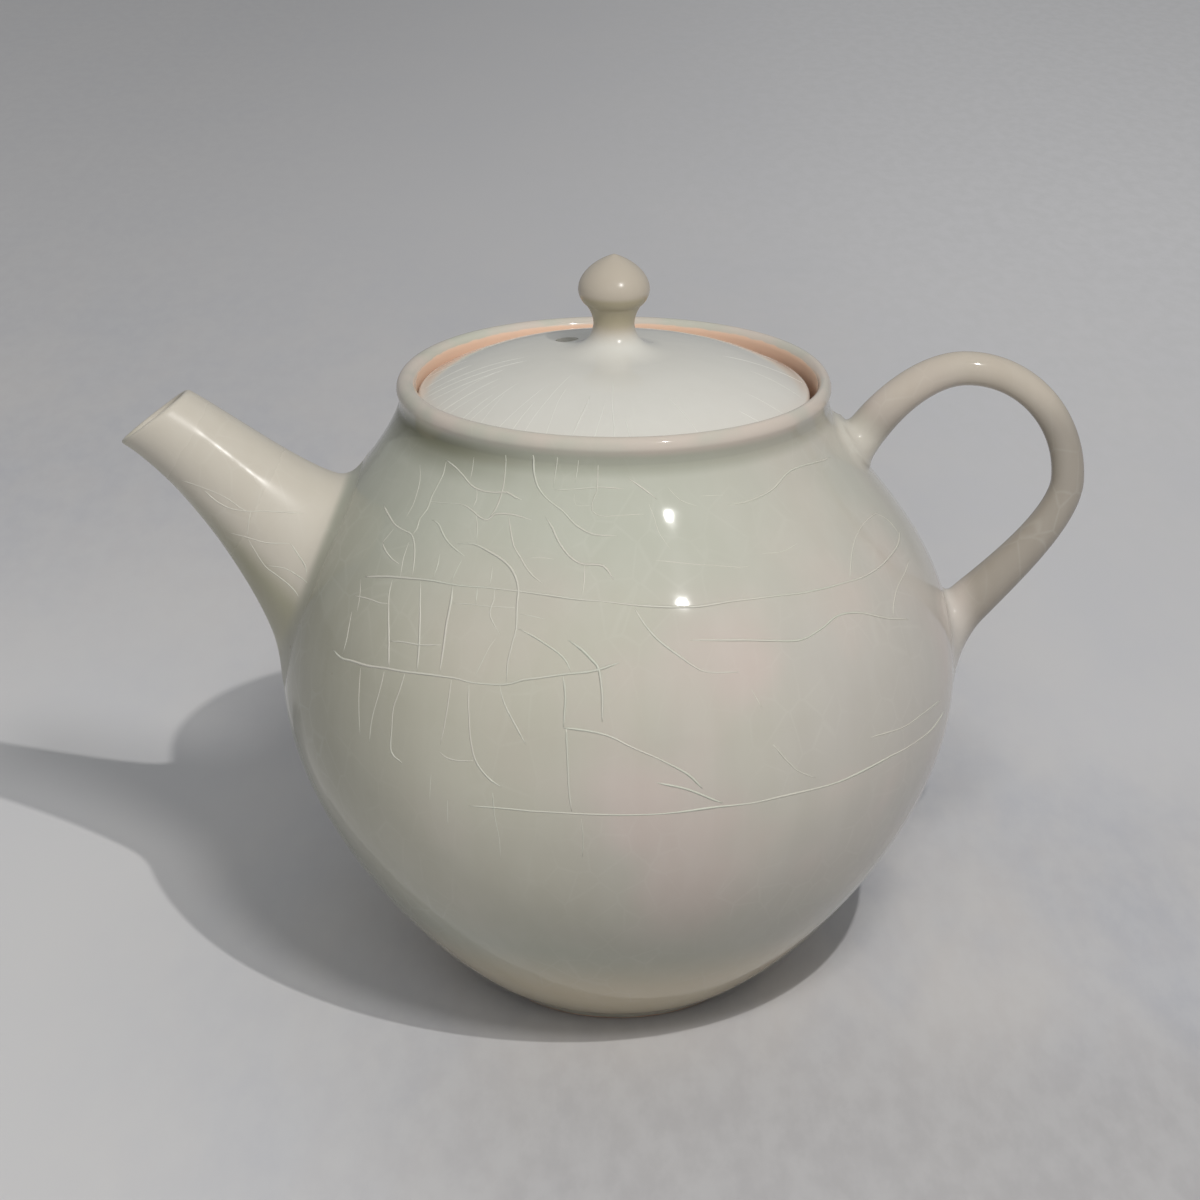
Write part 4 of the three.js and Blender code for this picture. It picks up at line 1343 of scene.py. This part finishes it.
def lamp(name, place, target, size, power, tint, lights=True, mirrored=False):
    """A round lamp, as strong far off as near, that lights the scene or is mirrored in it."""
    data = bpy.data.lights.new(name, "AREA")
    data.shape = "DISK"
    data.size = size * MM
    data.energy = power
    data.color = tint
    data.use_nodes = True
    falloff = data.node_tree.nodes.new("ShaderNodeLightFalloff")
    falloff.inputs["Strength"].default_value = 1.0
    strength = data.node_tree.nodes["Emission"].inputs["Strength"]
    data.node_tree.links.new(falloff.outputs["Constant"], strength)
    thing = linked(name, data)
    thing.visible_diffuse = lights
    thing.visible_glossy = mirrored
    point_at(thing, place, target)


def surroundings():
    world = bpy.data.worlds.new("room")
    world.use_nodes = True
    sky = world.node_tree.nodes["Background"]
    sky.inputs["Color"].default_value = (0.97, 0.99, 1.0, 1)
    sky.inputs["Strength"].default_value = 0.33
    bpy.context.scene.world = world
    warm, cool = (1.0, 0.985, 0.96), (0.97, 0.985, 1.0)
    belly = (0, 0, 50)
    lamp("key", (143, -320, 457), belly, 8, 3.75, warm)
    lamp("shade", (92, -355, 457), belly, 80, 2.4, warm)
    lamp("room", (-40, -900, 700), (0, 0, 40), 500, 1.2, cool)
    lamp("glint", (177, -314, 452), belly, 7, 2.5, warm, lights=False, mirrored=True)


def camera():
    data = bpy.data.cameras.new("camera")
    data.sensor_width = SENSOR_WIDTH
    data.lens = SENSOR_WIDTH * PICTURE_FOCUS / (2 * PICTURE_MIDDLE)
    data.clip_start = 0.01
    thing = linked("camera", data)
    thing.location = in_frame(CAMERA_PLACE)
    thing.rotation_euler = (math.radians(90 - CAMERA_PITCH), 0, 0)
    bpy.context.scene.camera = thing


left, right = colour(193, 190, 174), colour(190, 185, 177)
green, pink = colour(186, 188, 174), colour(200, 188, 179)
body_glaze = glaze("crackle_glaze", left, right, green, pink, clay=colour(224, 190, 166))
# The spout's under colour is painted shade on its underside.
spout_tones_and_shade = {
    "over": colour(198, 191, 178), "under": colour(165, 161, 138), "slope": 0.82, "level": (30, 38),
    "middle": 57.1, "reach": (60.4, 61.6)}
# The coil's under colour is painted shade on it below its top run.
coil_tones_and_shade = {
    "over": colour(187, 177, 163), "under": colour(157, 149, 138), "slope": 0.0, "level": (103, 112),
    "middle": EQUATOR_HEIGHT, "reach": (61, 66)}
spout_glaze = glaze("spout_glaze", left, right, green, pink, spout_tones_and_shade, dull=(85.5, 89.5, 76.0, 71.0))
coil_glaze = glaze("handle_glaze", left, right, green, pink, coil_tones_and_shade)
lid_glaze = glaze(
    "lid_glaze", colour(211, 208, 200), colour(219, 216, 210), colour(212, 210, 202), colour(216, 210, 203),
    knob=True)
pale_clay, dark_clay = colour(228, 197, 173), colour(206, 167, 142)
clay = bare_clay("bare_clay", pale_clay, dark_clay)
lines = crack_lines("crack_lines", colour(208, 204, 192), colour(202, 203, 189))
lid_lines = crack_lines("lid_crack_lines", colour(226, 224, 217), colour(220, 220, 211))

globe(body_glaze)
spout(spout_glaze)
handle(coil_glaze)
foot_ring(foot_skin("foot_clay", pale_clay, dark_clay, colour(186, 182, 168)))
lid_seat(clay)
lid(lid_glaze)
lid_flange(clay)
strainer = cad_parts["strainer"]
strainer.data.materials.clear()
strainer.data.materials.append(body_glaze)

pot_lines, pot_surface = pot_cracks()
crackle("crackle", pot_lines, pot_surface, "pot", lines)
crackle("lid_crackle", lid_cracks(np.random.default_rng(5)), lid_field, "cover", lid_lines)

table(paper_with_painted_light_and_shade("paper_with_painted_light_and_shade"))
surroundings()
camera()
bpy.context.scene.view_settings.view_transform = "Standard"
